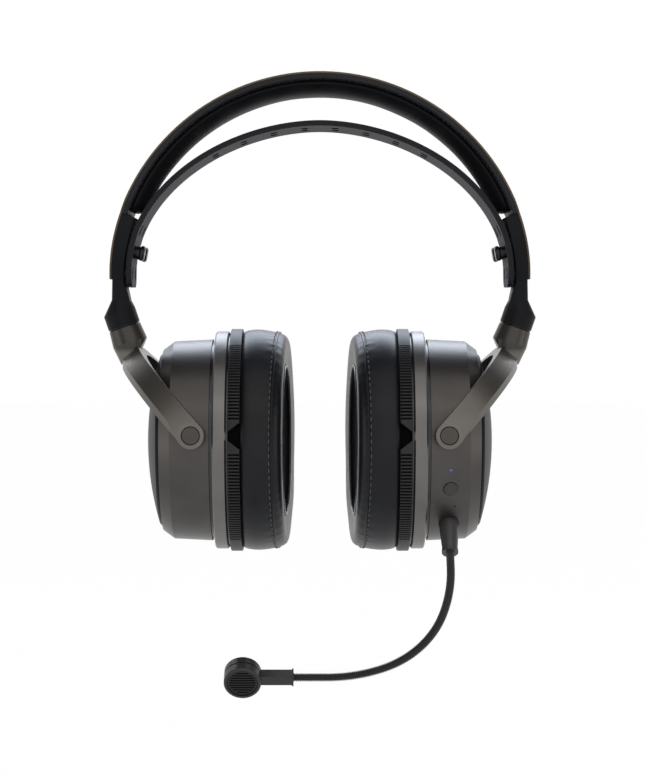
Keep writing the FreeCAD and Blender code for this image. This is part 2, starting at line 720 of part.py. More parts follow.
def slider_end():
    """Black end piece: slim where it meets the arm, waisted, then round at the swivel."""
    outer = math.sqrt(ARM_OUTER_R ** 2 - SEAM_ALONG ** 2) - BLADE_R
    inner = math.sqrt(ARM_INNER_R ** 2 - SEAM_ALONG ** 2) - BLADE_R
    seam = SEAM + SLIDE_DOWN * PIECE_GAP - SLIDE_IN * ((outer + inner) / 2)
    neck = SLIDE_MIDDLE + SLIDE_DOWN * NECK_ALONG + SLIDE_IN * NECK_INWARD
    knuckle = SWIVEL_AT - SWIVEL_DOWN * KNUCKLE_LENGTH
    seam_half = (outer - inner) / 2 - SEAM_INSET
    corner = KNUCKLE_R - PIECE_GAP
    sections = [
        rounded_section(seam, SLIDE_IN, Y_AXIS, seam_half, ARM_END_WIDTH / 2 - SEAM_INSET, ARM_CORNER_R),
        rounded_section(neck, X_AXIS * -1, Y_AXIS, NECK_HALF_ACROSS, NECK_HALF_DEEP, NECK_CORNER_R),
        rounded_section(knuckle, SWIVEL_IN, Y_AXIS, KNUCKLE_R, KNUCKLE_R, corner),
    ]
    body = Part.makeLoft(sections, True, True)
    length = KNUCKLE_LENGTH - SWIVEL_GAP / 2
    body = body.fuse(Part.Face(sections[-1]).extrude(SWIVEL_DOWN * length)).removeSplitter()
    return body.cut([slider_blade(), rod(SWIVEL_AT, SWIVEL_DOWN, PIN_TOP, SWIVEL_GAP, PIN_R)])


def swivel_pin():
    shank = rod(SWIVEL_AT, SWIVEL_DOWN, PIN_TOP, PIN_HEAD_AT, PIN_R)
    head = rod(SWIVEL_AT, SWIVEL_DOWN, PIN_HEAD_AT - PIN_HEAD_THICKNESS, PIN_HEAD_AT, PIN_HEAD_R)
    return shank.fuse(head).removeSplitter()


# Yoke

def yoke_place(y, up, out):
    """A point from the pivot: across, up along the fork's plane, and outwards from it."""
    return PIVOT + Y_AXIS * y + YOKE_UP * up + YOKE_OUT * out


def yoke_arc(half, height, out):
    """Half an ellipse over the cup."""
    middle = yoke_place(0, 0, out)
    ellipse = Part.Ellipse(yoke_place(half, 0, out), yoke_place(0, height, out), middle)
    return Part.Arc(ellipse, 0, math.pi).toShape()


def yoke_wire(out, shrink):
    """The arch's outline at a distance from the fork's middle plane, drawn in at its outside."""
    outer, inner = YOKE_OUTER_HALF - shrink, YOKE_INNER_HALF
    edges = [yoke_arc(outer, YOKE_HEIGHT - shrink, out), yoke_arc(inner, YOKE_INNER_HEIGHT, out)]
    for side in (-1, 1):
        ends = yoke_place(side * inner, 0, out), yoke_place(side * outer, 0, out)
        edges.append(Part.LineSegment(*ends).toShape())
    return Part.Wire(Part.__sortEdges__(edges))


def yoke_fork():
    """An arch over the cup with a wide chamfer, which fades out above the round eyes of its legs."""
    half = YOKE_WIDTH / 2
    low = half - YOKE_CHAMFER
    arch = Part.Face(yoke_wire(-half, 0))
    chamfered = Part.makeLoft([yoke_wire(low, 0), yoke_wire(half, YOKE_CHAMFER)], True, True)
    fade = yoke_place(0, CHAMFER_FADE_UP, half)
    foot = arch.extrude(YOKE_OUT * YOKE_WIDTH).cut(beyond(fade, YOKE_OUT + YOKE_UP * CHAMFER_FADE_SLOPE))
    eyes = [rod(PIVOT, Y_AXIS * side, YOKE_INNER_HALF, YOKE_OUTER_HALF, PIVOT_EYE_R) for side in (-1, 1)]
    return arch.extrude(YOKE_OUT * (low + half)).fuse([chamfered, foot, *eyes]).removeSplitter()


def collar():
    """Round collar that carries the swivel bush, cut off at a slant on its inner side."""
    low, high = SWIVEL_GAP / 2, COLLAR_END_AT
    body = turned([
        (low, 0), (low, COLLAR_TOP_R - COLLAR_BEVEL), (low + COLLAR_BEVEL, COLLAR_TOP_R),
        (COLLAR_WAIST_AT, COLLAR_LOW_R), (high, COLLAR_END_R), (high, 0),
    ], SWIVEL_AT, SWIVEL_DOWN, Y_AXIS)
    slant = beyond(SWIVEL_AT + SWIVEL_DOWN * COLLAR_CUT, SWIVEL_DOWN + SWIVEL_IN)
    under = beyond(PIVOT + YOKE_UP * (YOKE_HEIGHT - COLLAR_SINK), YOKE_UP * -1)
    return body.cut([slant, under])


def yoke():
    body = yoke_fork().fuse(collar()).removeSplitter()
    cuts = [
        rod(SWIVEL_AT, SWIVEL_DOWN, 0, COLLAR_END_AT, BUSH_R),
        rod(SWIVEL_AT, SWIVEL_DOWN, BUSH_END, 2 * COLLAR_END_AT, PIN_HEAD_R + HEAD_CLEARANCE),
    ]
    for side in (-1, 1):
        out = Y_AXIS * side
        seat = YOKE_OUTER_HALF - PIVOT_HEAD
        low, high = YOKE_INNER_HALF - OVERSHOOT, YOKE_OUTER_HALF + OVERSHOOT
        cuts.append(rod(PIVOT, out, low, high, PIVOT_R + RUNNING_CLEARANCE))
        cuts.append(rod(PIVOT, out, seat, high, PIVOT_HEAD_R + PIVOT_HEAD_CLEARANCE))
    return body.cut(cuts)


def swivel_bush():
    """Flanged bearing pressed into the yoke's collar."""
    bore = PIN_R + RUNNING_CLEARANCE
    sleeve = tube(SWIVEL_AT, SWIVEL_DOWN, BUSH_FLANGE_TOP, BUSH_END, BUSH_R, bore)
    flange = tube(SWIVEL_AT, SWIVEL_DOWN, BUSH_FLANGE_TOP, SWIVEL_GAP / 2, BUSH_R + BUSH_FLANGE, bore)
    return sleeve.fuse(flange).removeSplitter()


def pivot_screws():
    """Shouldered screws: they run in the yoke's eyes and are fixed in the cup's bosses."""
    screws = []
    for side in (-1, 1):
        out = Y_AXIS * side
        seat = YOKE_OUTER_HALF - PIVOT_HEAD + PIVOT_HEAD_LIFT
        head = turned([
            (seat, 0), (seat, PIVOT_HEAD_R), (seat + PIVOT_HEAD - 2 * PIVOT_HEAD_LIFT, PIVOT_HEAD_R),
            (seat + PIVOT_HEAD - PIVOT_HEAD_LIFT, PIVOT_HEAD_R - PIVOT_HEAD_LIFT),
            (seat + PIVOT_HEAD - PIVOT_HEAD_LIFT, 0),
        ], PIVOT, out, X_AXIS)
        shank = rod(PIVOT, out, seat + PIVOT_HEAD - PIVOT_LENGTH, seat, PIVOT_R)
        screws.append(head.fuse(shank).removeSplitter())
    return Part.makeCompound(screws)


# Ear cup

def cup_shell():
    seat = SHELL_CHAMFER_END - COVER_SEAT_DEPTH
    lip = COVER_R + PIECE_GAP
    shoulder = (SHELL_CHAMFER_START - SHELL_TAPER, SHELL_OUTER_R - SHELL_WALL)
    shell = cup_turned([
        (SHELL_START, SHELL_R), (SHELL_CHAMFER_START, SHELL_OUTER_R), (SHELL_CHAMFER_END, SHELL_END_R),
        (SHELL_CHAMFER_END, lip), (seat, lip), (seat, lip - COVER_SEAT_WIDTH),
        (seat - SHELL_WALL, lip - COVER_SEAT_WIDTH), shoulder,
        (SHELL_START + 2 * SPIGOT_LENGTH, SHELL_INNER_R), (SHELL_START, SHELL_INNER_R),
    ])
    face = YOKE_INNER_HALF - BOSS_FACE_GAP
    bosses = [rod(PIVOT, Y_AXIS * side, face - BOSS_DEPTH, face, BOSS_R) for side in (-1, 1)]
    return shell.fuse(bosses).removeSplitter().cut(pivot_screws())


def dome_radius():
    """Radius of the sphere that passes through the cover's edge and its apex."""
    rise = COVER_APEX - COVER_EDGE_AT
    return (COVER_EDGE_R ** 2 + rise ** 2) / (2 * rise)


def outer_cover():
    """Shallow dome that closes the cup."""
    seat = SHELL_CHAMFER_END - COVER_SEAT_DEPTH + PIECE_GAP
    inner_edge = COVER_R - COVER_SEAT_WIDTH
    sphere = dome_radius()
    middle = CUP_CENTRE + X_AXIS * (COVER_APEX - sphere)
    rim = cup_turned([
        (seat, 0), (seat, COVER_R), (COVER_EDGE_AT - COVER_EDGE, COVER_R),
        (COVER_EDGE_AT, COVER_EDGE_R), (COVER_APEX, COVER_EDGE_R), (COVER_APEX, 0),
    ])
    hollow = rod(CUP_CENTRE, X_AXIS, seat - OVERSHOOT, COVER_APEX, inner_edge)
    hollow = hollow.common(Part.makeSphere(sphere - COVER_WALL, middle))
    return rim.common(Part.makeSphere(sphere, middle)).cut(hollow)


def trim_ring():
    edge = RING_R - RING_BEVEL
    return cup_turned([
        (-RING_WIDTH, RING_BORE_R), (-RING_WIDTH, edge), (RING_BEVEL - RING_WIDTH, RING_R),
        (-RING_BEVEL, RING_R), (0, edge), (0, RING_BORE_R),
    ])


def baffle():
    """Holds the driver, and carries the trim ring and the cup's shell."""
    face, back = MOUNT_OUTER_AT + PIECE_GAP, -RING_WIDTH - PIECE_GAP
    spigot_r = SHELL_INNER_R - PIECE_GAP
    spigot_end = SHELL_START + SPIGOT_LENGTH
    return cup_turned([
        (face, BAFFLE_WEB_R), (face, BAFFLE_FLANGE_R), (back, BAFFLE_FLANGE_R), (back, BAFFLE_NECK_R),
        (SHELL_START - PIECE_GAP, BAFFLE_NECK_R), (SHELL_START - PIECE_GAP, spigot_r), (spigot_end, spigot_r),
        (spigot_end, BAFFLE_BORE_R), (face + BAFFLE_WEB, BAFFLE_BORE_R), (face + BAFFLE_WEB, BAFFLE_WEB_R),
    ])


def driver_start():
    return MOUNT_OUTER_AT + 2 * PIECE_GAP + BAFFLE_WEB


def driver_frame():
    """Ring with two bars that the magnets are bonded to."""
    low, high = driver_start(), driver_start() + DRIVER_DEPTH
    ring = tube(CUP_CENTRE, X_AXIS, low, high, DRIVER_R, DRIVER_WINDOW_R)
    bars = []
    for up in (-DRIVER_BAR_AT, DRIVER_BAR_AT):
        middle = CUP_CENTRE + V(high - BRIDGE_THICKNESS / 2, 0, up)
        long_bar = bar(middle, Y_AXIS, Z_AXIS, 2 * DRIVER_R, BRIDGE_WIDTH, BRIDGE_THICKNESS)
        bars.append(long_bar.common(rod(CUP_CENTRE, X_AXIS, low, high, DRIVER_R)))
    return ring.fuse(bars).removeSplitter()


def driver_magnets():
    """Bar magnets side by side, as long as the round window allows."""
    magnets = []
    high = driver_start() + DRIVER_DEPTH - BRIDGE_THICKNESS - PIECE_GAP
    for index in range(MAGNET_COUNT):
        offset = (index - (MAGNET_COUNT - 1) / 2) * MAGNET_PITCH
        edge = abs(offset) + MAGNET_WIDTH / 2
        length = 2 * math.sqrt((DRIVER_WINDOW_R - PIECE_GAP) ** 2 - edge ** 2)
        middle = CUP_CENTRE + V(high - MAGNET_THICKNESS / 2, offset, 0)
        magnets.append(bar(middle, Z_AXIS, Y_AXIS, length, MAGNET_WIDTH, MAGNET_THICKNESS))
    return Part.makeCompound(magnets)


def driver_diaphragm():
    low = driver_start() + DIAPHRAGM_IN
    return rod(CUP_CENTRE, X_AXIS, low, low + DIAPHRAGM_THICKNESS, DRIVER_WINDOW_R - PIECE_GAP)


def pad_mount():
    """Ring that the pad is stretched over, with a tapering notch at the front and the back."""
    bevel = RING_BEVEL
    ring = cup_turned([
        (MOUNT_INNER_AT, MOUNT_BORE_R), (MOUNT_INNER_AT, MOUNT_R - bevel), (MOUNT_INNER_AT + bevel, MOUNT_R),
        (MOUNT_OUTER_AT - bevel, MOUNT_R), (MOUNT_OUTER_AT, MOUNT_R - bevel), (MOUNT_OUTER_AT, MOUNT_BORE_R),
    ])
    notches = []
    for side in (-1, 1):
        y = side * (MOUNT_R - NOTCH_DEPTH)
        path = [
            (MOUNT_INNER_AT - OVERSHOOT, -NOTCH_WIDE / 2), (MOUNT_OUTER_AT + OVERSHOOT, -NOTCH_NARROW / 2),
            (MOUNT_OUTER_AT + OVERSHOOT, NOTCH_NARROW / 2), (MOUNT_INNER_AT - OVERSHOOT, NOTCH_WIDE / 2),
        ]
        face = face_of(path, lambda out, up: CUP_CENTRE + V(out, y, up + NOTCH_UP))
        notches.append(face.extrude(Y_AXIS * (side * 2 * NOTCH_DEPTH)))
    return ring.cut(notches)


def pad_hole(shrink):
    """The oval ear opening, as a long solid."""
    major, minor = PAD_HOLE_HALF_Z - shrink, PAD_HOLE_HALF_Y - shrink
    ellipse = Part.Ellipse(ORIGIN, major, minor).toShape()
    ellipse.Placement = FreeCAD.Placement(CUP_CENTRE - X_AXIS * (BIG / 2), FreeCAD.Rotation(Y_AXIS, -90))
    return Part.Face(Part.Wire(ellipse)).extrude(X_AXIS * BIG)


def ear_pad():
    """A thick ring, thinner at the front, with a round crest and an oval opening."""
    lean = (PAD_BACK - PAD_FRONT) / (2 * PAD_R)
    middle = (PAD_BACK + PAD_FRONT) / 2
    crest = CUP_CENTRE + X_AXIS * (PAD_OUTER_AT - middle)
    block = rod(CUP_CENTRE, X_AXIS, PAD_OUTER_AT - 2 * PAD_BACK, PAD_OUTER_AT, PAD_R)
    pad = block.cut(beyond(crest, V(-1, -lean, 0)))
    pad = softened(pad, PAD_ROUND, lambda p: p.x < CUP_CENTRE.x + PAD_OUTER_AT - PAD_FRONT / 2)
    return pad.cut(pad_hole(0))


def pad_scrim():
    """Thin cloth over the driver, at the bottom of the ear opening."""
    high = MOUNT_INNER_AT - PIECE_GAP
    disc = rod(CUP_CENTRE, X_AXIS, high - SCRIM_THICKNESS, high, PAD_R)
    return disc.common(pad_hole(SCRIM_CLEARANCE))


# Controls and sockets, all on the wearer's left cup

def shell_radius(out):
    """The shell's outer radius at a distance outwards from the ring."""
    share = (out - SHELL_START) / (SHELL_CHAMFER_START - SHELL_START)
    return SHELL_R + (SHELL_OUTER_R - SHELL_R) * share


def round_the_cup(degrees):
    """The outward direction at an angle from the cup's lowest point, forwards positive."""
    return V(0, -math.sin(math.radians(degrees)), -math.cos(math.radians(degrees)))


def control_rod(degrees, out, low, high, radius):
    return rod(CUP_CENTRE + X_AXIS * out, round_the_cup(degrees), low, high, radius)


def button(degrees):
    top = shell_radius(CONTROL_OUT) + BUTTON_PROUD
    flange_top = SHELL_INNER_R - BUTTON_FLANGE_GAP
    low = top - BUTTON_DEPTH
    return turned([
        (low, 0), (low, BUTTON_R + BUTTON_FLANGE_OUT), (flange_top, BUTTON_R + BUTTON_FLANGE_OUT),
        (flange_top, BUTTON_R), (top - CONTROL_EDGE, BUTTON_R), (top, BUTTON_R - CONTROL_EDGE), (top, 0),
    ], CUP_CENTRE + X_AXIS * CONTROL_OUT, round_the_cup(degrees), X_AXIS)


def button_hole(degrees):
    low, high = SHELL_INNER_R - SHELL_WALL, SHELL_R + OVERSHOOT
    return control_rod(degrees, CONTROL_OUT, low, high, BUTTON_R + BUTTON_CLEARANCE)


def status_light():
    top = shell_radius(CONTROL_OUT)
    return control_rod(LIGHT_DEG, CONTROL_OUT, top - LIGHT_DEPTH, top, LIGHT_R)


def boot_seat():
    return shell_radius(CONTROL_OUT) - BOOT_SINK


def socket(degrees, bore):
    """A round jack socket behind the shell's surface."""
    top = boot_seat()
    body = control_rod(degrees, CONTROL_OUT, top - SOCKET_LENGTH - SOCKET_WALL, top, bore + SOCKET_WALL)
    return body.cut(control_rod(degrees, CONTROL_OUT, top - SOCKET_LENGTH, top + OVERSHOOT, bore))


def charging_socket():
    """A flat oval socket with a tongue."""
    top = boot_seat()
    start, out = CUP_CENTRE + X_AXIS * CONTROL_OUT, round_the_cup(CHARGE_DEG)
    wide, high = CHARGE_HALF_WIDTH, CHARGE_HALF_HEIGHT
    can = rounded_bar(start, out, X_AXIS, top - CHARGE_LENGTH, top, wide, high, high - PIECE_GAP)
    floor = top - CHARGE_LENGTH + CHARGE_FLOOR
    hollow = rounded_bar(start, out, X_AXIS, floor, top + OVERSHOOT, wide - CHARGE_WALL, high - CHARGE_WALL,
                         high - CHARGE_WALL - PIECE_GAP)
    tongue_top = top - CHARGE_FLOOR
    tongue = rounded_bar(start, out, X_AXIS, floor, tongue_top, CHARGE_TONGUE, CHARGE_WALL, CHARGE_WALL / 2)
    return can.cut(hollow).fuse(tongue).removeSplitter()


def charging_hole():
    start, out = CUP_CENTRE + X_AXIS * CONTROL_OUT, round_the_cup(CHARGE_DEG)
    wide, high = CHARGE_HALF_WIDTH, CHARGE_HALF_HEIGHT
    low, top = SHELL_INNER_R - SHELL_WALL, SHELL_R + OVERSHOOT
    return rounded_bar(start, out, X_AXIS, low, top, wide, high, high - PIECE_GAP)


def wheel_centre():
    return shell_radius(CONTROL_OUT) + WHEEL_PROUD - WHEEL_R


def volume_wheel():
    """Thumb wheel with a grooved rim, turning about an axle across the cup."""
    centre = CUP_CENTRE + round_the_cup(WHEEL_DEG) * wheel_centre()
    half = WHEEL_THICKNESS / 2
    low, high = CONTROL_OUT - 2 * half, CONTROL_OUT + 2 * half
    wheel = rod(centre, X_AXIS, CONTROL_OUT - half, CONTROL_OUT + half, WHEEL_R)
    cuts = [rod(centre, X_AXIS, low, high, WHEEL_AXLE_R + RUNNING_CLEARANCE)]
    for index in range(WHEEL_GROOVES):
        at = centre + round_the_cup(360 * index / WHEEL_GROOVES) * WHEEL_R
        cuts.append(rod(at, X_AXIS, low, high, WHEEL_GROOVE_R))
    return wheel.cut(cuts)


def wheel_axle():
    centre = CUP_CENTRE + round_the_cup(WHEEL_DEG) * wheel_centre()
    half = WHEEL_THICKNESS / 2 + WHEEL_SLOT_CLEARANCE + WHEEL_EAR
    return rod(centre, X_AXIS, CONTROL_OUT - half, CONTROL_OUT + half, WHEEL_AXLE_R)


def wheel_ears():
    """Two ears inside the shell that hold the wheel's axle."""
    low, high = wheel_centre() - WHEEL_EAR_WIDTH / 2, SHELL_INNER_R + SHELL_WALL / 2
    out = round_the_cup(WHEEL_DEG)
    ears = []
    for side in (-1, 1):
        at = CONTROL_OUT + side * (WHEEL_THICKNESS / 2 + WHEEL_SLOT_CLEARANCE + WHEEL_EAR / 2)
        middle = CUP_CENTRE + X_AXIS * at + out * ((low + high) / 2)
        ears.append(bar(middle, out, X_AXIS, high - low, WHEEL_EAR, WHEEL_EAR_WIDTH))
    return ears


def wheel_slot():
    """Room for the wheel in the shell's wall."""
    centre = CUP_CENTRE + round_the_cup(WHEEL_DEG) * wheel_centre()
    half = WHEEL_THICKNESS / 2 + WHEEL_SLOT_CLEARANCE
    return rod(centre, X_AXIS, CONTROL_OUT - half, CONTROL_OUT + half, WHEEL_R + WHEEL_SLOT_CLEARANCE)


def left_shell():
    """The shell with its openings, the ears for the wheel, and its bosses."""
    cuts = [button_hole(FRONT_BUTTON_DEG), button_hole(POWER_DEG), charging_hole(), wheel_slot(), wheel_axle()]
    surface = shell_radius(CONTROL_OUT)
    low, high = surface - 2 * SHELL_WALL, surface + OVERSHOOT
    cuts.append(control_rod(LIGHT_DEG, CONTROL_OUT, low, high, LIGHT_R))
    cuts.append(control_rod(PINHOLE_DEG, PINHOLE_OUT, low, high, PINHOLE_R))
    for degrees, bore in ((MIC_SOCKET_DEG, mic_bore()), (AUDIO_DEG, AUDIO_BORE_R)):
        cuts.append(control_rod(degrees, CONTROL_OUT, low, high, bore + SOCKET_WALL))
    cuts.append(control_rod(MIC_SOCKET_DEG, CONTROL_OUT, boot_seat(), high, BOOT_R + BOOT_CLEARANCE))
    return cup_shell().fuse(wheel_ears()).removeSplitter().cut(cuts)


def main_board():
    board = rod(CUP_CENTRE, X_AXIS, BOARD_AT, BOARD_AT + BOARD_THICKNESS, BOARD_R)
    chips = [
        bar(CUP_CENTRE + V(BOARD_AT - CHIP_HEIGHT / 2, y, z), Y_AXIS, Z_AXIS, side, side, CHIP_HEIGHT)
        for y, z, side in BOARD_CHIPS
    ]
    return board.fuse(chips).removeSplitter()


def battery():
    thick, deep, tall = BATTERY_SIZE
    start = CUP_CENTRE + X_AXIS * (BATTERY_AT - thick / 2)
    return rounded_bar(start, X_AXIS, Y_AXIS, 0, thick, deep / 2, tall / 2, BATTERY_CORNER_R)


# Boom microphone

def mic_bore():
    return MIC_JACK_R + RUNNING_CLEARANCE


def boom_out():
    return round_the_cup(MIC_SOCKET_DEG)


def boom_start(along):
    """A point on the boom's plug axis, measured outwards from the boot's seat."""
    return CUP_CENTRE + X_AXIS * CONTROL_OUT + boom_out() * (boot_seat() + along)


def boom_plug():
    """Jack plug with a tip and three insulating grooves, and a shank that the boot turns on."""
    groove = JACK_GROOVE
    tip = JACK_LENGTH - JACK_TIP
    path = [(JACK_SHANK, 0), (JACK_SHANK, MIC_JACK_R)]
    for index in range(JACK_GROOVES):
        at = -tip + (JACK_GROOVES - index) * JACK_RING
        path += [
            (at, MIC_JACK_R), (at, MIC_JACK_R - groove), (at - 3 * groove, MIC_JACK_R - groove),
            (at - 3 * groove, MIC_JACK_R),
        ]
    path += [(-tip, MIC_JACK_R), (-JACK_LENGTH, MIC_JACK_R / 3), (-JACK_LENGTH, 0)]
    return turned(path, boom_start(0), boom_out(), X_AXIS)


def boom_boot():
    """Tapered sleeve round the plug and the foot of the gooseneck, with a thin lip."""
    low, high = PIECE_GAP, BOOT_LENGTH
    lip = high - BOOT_LIP
    lip_r = BOOT_END_R + BOOT_LIP_PROUD
    shank = JACK_SHANK + PIECE_GAP
    body = turned([
        (low, 0), (low, BOOT_R), (BOOT_STRAIGHT, BOOT_R), (lip, BOOT_END_R),
        (lip, lip_r), (high, lip_r), (high, 0),
    ], boom_start(0), boom_out(), X_AXIS)
    return body.cut([
        rod(boom_start(0), boom_out(), -OVERSHOOT, shank, MIC_JACK_R + RUNNING_CLEARANCE),
        rod(boom_start(0), boom_out(), shank, BOOT_LENGTH + OVERSHOOT, NECK_R),
    ])


def turn_towards(direction, towards, degrees):
    """The two directions turned together by an angle in their own plane."""
    c, s = math.cos(math.radians(degrees)), math.sin(math.radians(degrees))
    return direction * c + towards * s, towards * c - direction * s


def gooseneck_path():
    """Straight runs joined by tangent arcs, from inside the boot to the stem."""
    inside = JACK_SHANK + 2 * PIECE_GAP
    point = boom_start(inside)
    ahead, inward = boom_out(), X_AXIS * -1
    edges = []
    steps = [(BOOT_LENGTH - inside + NECK_START, 0, 0)]
    steps.append((0, NECK_SOFT_BEND_R, NECK_SOFT_BEND_DEG))
    steps.append((0, NECK_BEND_R, NECK_BEND_DEG))
    steps.append((0, NECK_SOFT_BEND_R, NECK_SOFT_BEND_DEG))
    steps.append((NECK_END, 0, 0))
    for length, radius, degrees in steps:
        if radius:
            centre = point + inward * radius
            half = turn_towards(ahead, inward, degrees / 2)
            through = centre - half[1] * radius
            ahead, inward = turn_towards(ahead, inward, degrees)
            end = centre - inward * radius
            edges.append(Part.Arc(point, through, end).toShape())
        else:
            end = point + ahead * length
            edges.append(Part.LineSegment(point, end).toShape())
        point = end
    return edges, point


def gooseneck():
    edges, _ = gooseneck_path()
    ring = Part.Wire(Part.Circle(edges[0].firstVertex().Point, boom_out(), NECK_R).toShape())
    return Part.Wire(edges).makePipeShell([ring], True, False)


def mic_end():
    """Where the gooseneck meets the stem. From here the boom runs towards -X."""
    return gooseneck_path()[1]


def mic_up():
    return HEAD_FRONT.cross(X_AXIS)


def mic_centre():
    """Middle of the microphone's round head."""
    reach = STEM_LENGTH + math.sqrt(HEAD_R ** 2 - (STEM_TALL / 2) ** 2)
    return mic_end() - X_AXIS * reach


def head_drum(low, high, radius):
    return rod(mic_centre(), HEAD_FRONT, low, high, radius)


def mic_stem():
    """Bevelled bar with a thin lip, shaped to the drum that it meets."""
    inward = X_AXIS * -1
    length = STEM_LENGTH + HEAD_WALL
    deep, tall, proud = STEM_DEEP / 2, STEM_TALL / 2, STEM_LIP / 2
    stem = rounded_bar(mic_end(), inward, HEAD_FRONT, PIECE_GAP, length, deep, tall, STEM_EDGE)
    lip = rounded_bar(mic_end(), inward, HEAD_FRONT, PIECE_GAP, STEM_LIP, deep + proud, tall + proud, STEM_EDGE)
    half = HEAD_DEPTH / 2
    return stem.fuse(lip).removeSplitter().cut(head_drum(-half, half, HEAD_R))


def mic_housing():
    """Round drum, open at the front, with a seam groove round its side."""
    half, edge = HEAD_DEPTH / 2, HEAD_GROOVE
    ring = GRILLE_R + PIECE_GAP
    return turned([
        (-half, 0), (-half, HEAD_R - 2 * edge), (2 * edge - half, HEAD_R), (-edge, HEAD_R),
        (-edge, HEAD_R - edge), (edge, HEAD_R - edge), (edge, HEAD_R), (half - edge, HEAD_R),
        (half, HEAD_R - edge), (half, ring), (half - GRILLE_RECESS - GRILLE_THICKNESS, ring),
        (half - GRILLE_RECESS - GRILLE_THICKNESS, ring - HEAD_WALL), (HEAD_WALL - half, ring - HEAD_WALL),
        (HEAD_WALL - half, 0),
    ], mic_centre(), HEAD_FRONT, X_AXIS)


def mic_grille():
    """Disc with plain level slots."""
    high = HEAD_DEPTH / 2 - GRILLE_RECESS
    disc = head_drum(high - GRILLE_THICKNESS + PIECE_GAP, high, GRILLE_R)
    slots = []
    for index in range(GRILLE_SLOTS):
        up = (index - (GRILLE_SLOTS - 1) / 2) * GRILLE_PITCH
        half = math.sqrt((GRILLE_R - HEAD_WALL) ** 2 - up ** 2)
        middle = mic_centre() + HEAD_FRONT * high + mic_up() * up
        slots.append(bar(middle, X_AXIS, mic_up(), 2 * half, GRILLE_SLOT, 4 * GRILLE_THICKNESS))
    return disc.cut(slots)


def mic_capsule():
    low = HEAD_WALL - HEAD_DEPTH / 2 + PIECE_GAP
    return head_drum(low, low + CAPSULE_DEPTH, CAPSULE_R)


# Every piece, by name
PAIRED = {
    "arm": arm,
    "slider_blade": slider_blade,
    "slider_end": slider_end,
    "swivel_pin": swivel_pin,
    "yoke": yoke,
    "swivel_bush": swivel_bush,
    "pivot_screws": pivot_screws,
    "outer_cover": outer_cover,
    "trim_ring": trim_ring,
    "baffle": baffle,
    "driver_frame": driver_frame,
    "driver_magnets": driver_magnets,
    "driver_diaphragm": driver_diaphragm,
    "pad_mount": pad_mount,
    "ear_pad": ear_pad,
    "pad_scrim": pad_scrim,
}
SINGLE = {
    "headband_spring": headband_spring,
    "headband_liner": headband_liner,
    "headband_cushion": headband_cushion,
    "arm_screws": arm_screws,
    "suspension_strap": suspension_strap,
    "strap_studs": strap_studs,
    "strap_knobs": strap_knobs,
    "cup_shell_left": left_shell,
    "cup_shell_right": lambda: mirrored(cup_shell()),
    "main_board": main_board,
    "battery": lambda: mirrored(battery()),
    "mic_socket": lambda: socket(MIC_SOCKET_DEG, mic_bore()),
    "audio_socket": lambda: socket(AUDIO_DEG, AUDIO_BORE_R),
    "charging_socket": charging_socket,
    "front_button": lambda: button(FRONT_BUTTON_DEG),
    "power_button": lambda: button(POWER_DEG),
    "status_light": status_light,
    "volume_wheel": volume_wheel,
    "wheel_axle": wheel_axle,
    "boom_plug": boom_plug,
    "boom_boot": boom_boot,
    "gooseneck": gooseneck,
    "mic_stem": mic_stem,
    "mic_housing": mic_housing,
    "mic_grille": mic_grille,
    "mic_capsule": mic_capsule,
}

os.makedirs("parts", exist_ok=True)
for name, make in PAIRED.items():
    piece = make()
    piece.exportStep(f"parts/{name}_left.step")
    mirrored(piece).exportStep(f"parts/{name}_right.step")
for name, make in SINGLE.items():
    make().exportStep(f"parts/{name}.step")
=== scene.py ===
import json
import math

import bmesh
import bpy
import numpy as np
from mathutils import Matrix, Vector, noise
from mathutils.geometry import delaunay_2d_cdt


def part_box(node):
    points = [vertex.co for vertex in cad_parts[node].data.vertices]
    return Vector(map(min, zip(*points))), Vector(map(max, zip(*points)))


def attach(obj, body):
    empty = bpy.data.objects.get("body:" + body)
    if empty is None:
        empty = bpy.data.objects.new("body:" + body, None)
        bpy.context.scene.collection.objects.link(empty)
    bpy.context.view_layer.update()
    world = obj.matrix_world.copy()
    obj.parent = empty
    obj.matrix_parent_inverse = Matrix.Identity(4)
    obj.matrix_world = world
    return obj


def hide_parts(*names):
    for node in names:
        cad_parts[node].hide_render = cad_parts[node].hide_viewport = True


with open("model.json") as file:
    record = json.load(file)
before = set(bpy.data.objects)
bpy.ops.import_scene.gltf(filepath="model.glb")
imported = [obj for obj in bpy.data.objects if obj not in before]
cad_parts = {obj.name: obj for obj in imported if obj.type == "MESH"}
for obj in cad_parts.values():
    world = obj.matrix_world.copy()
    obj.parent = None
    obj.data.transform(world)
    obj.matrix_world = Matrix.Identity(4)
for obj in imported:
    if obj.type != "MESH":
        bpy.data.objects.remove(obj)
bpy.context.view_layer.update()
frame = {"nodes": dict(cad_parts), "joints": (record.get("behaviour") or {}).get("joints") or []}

# The looks of a wireless over-ear headset with a plug-in boom microphone.
# Metres. +X is the wearer's left, -Y is the way the wearer faces, +Z is up.
# Lengths in millimetres are written as a number times MM.

MM = 0.001
X, Y, Z = Vector((1, 0, 0)), Vector((0, 1, 0)), Vector((0, 0, 1))
SIDES = ("left", "right")
SAME_POINT = 1e-7             # points closer than this are one point
PIECE_GAP = 0.05 * MM

# Places read from the frame, for the wearer's left side
ring_low, ring_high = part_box("trim_ring_left")
mount_low, mount_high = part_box("pad_mount_left")
pad_low, pad_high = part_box("ear_pad_left")
strap_low, strap_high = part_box("suspension_strap")
band_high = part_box("headband_spring")[1]
CUP = Vector((ring_high.x, 0, (ring_low.z + ring_high.z) / 2))
BOOM_TURN = next(joint for joint in frame["joints"] if joint["name"] == "boom_turn")

# The fork's collar, painted darker than the fork's legs: painted shade
COLLAR_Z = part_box("yoke_left")[1].z - 13.5 * MM
COLLAR_FADE = 1.2 * MM

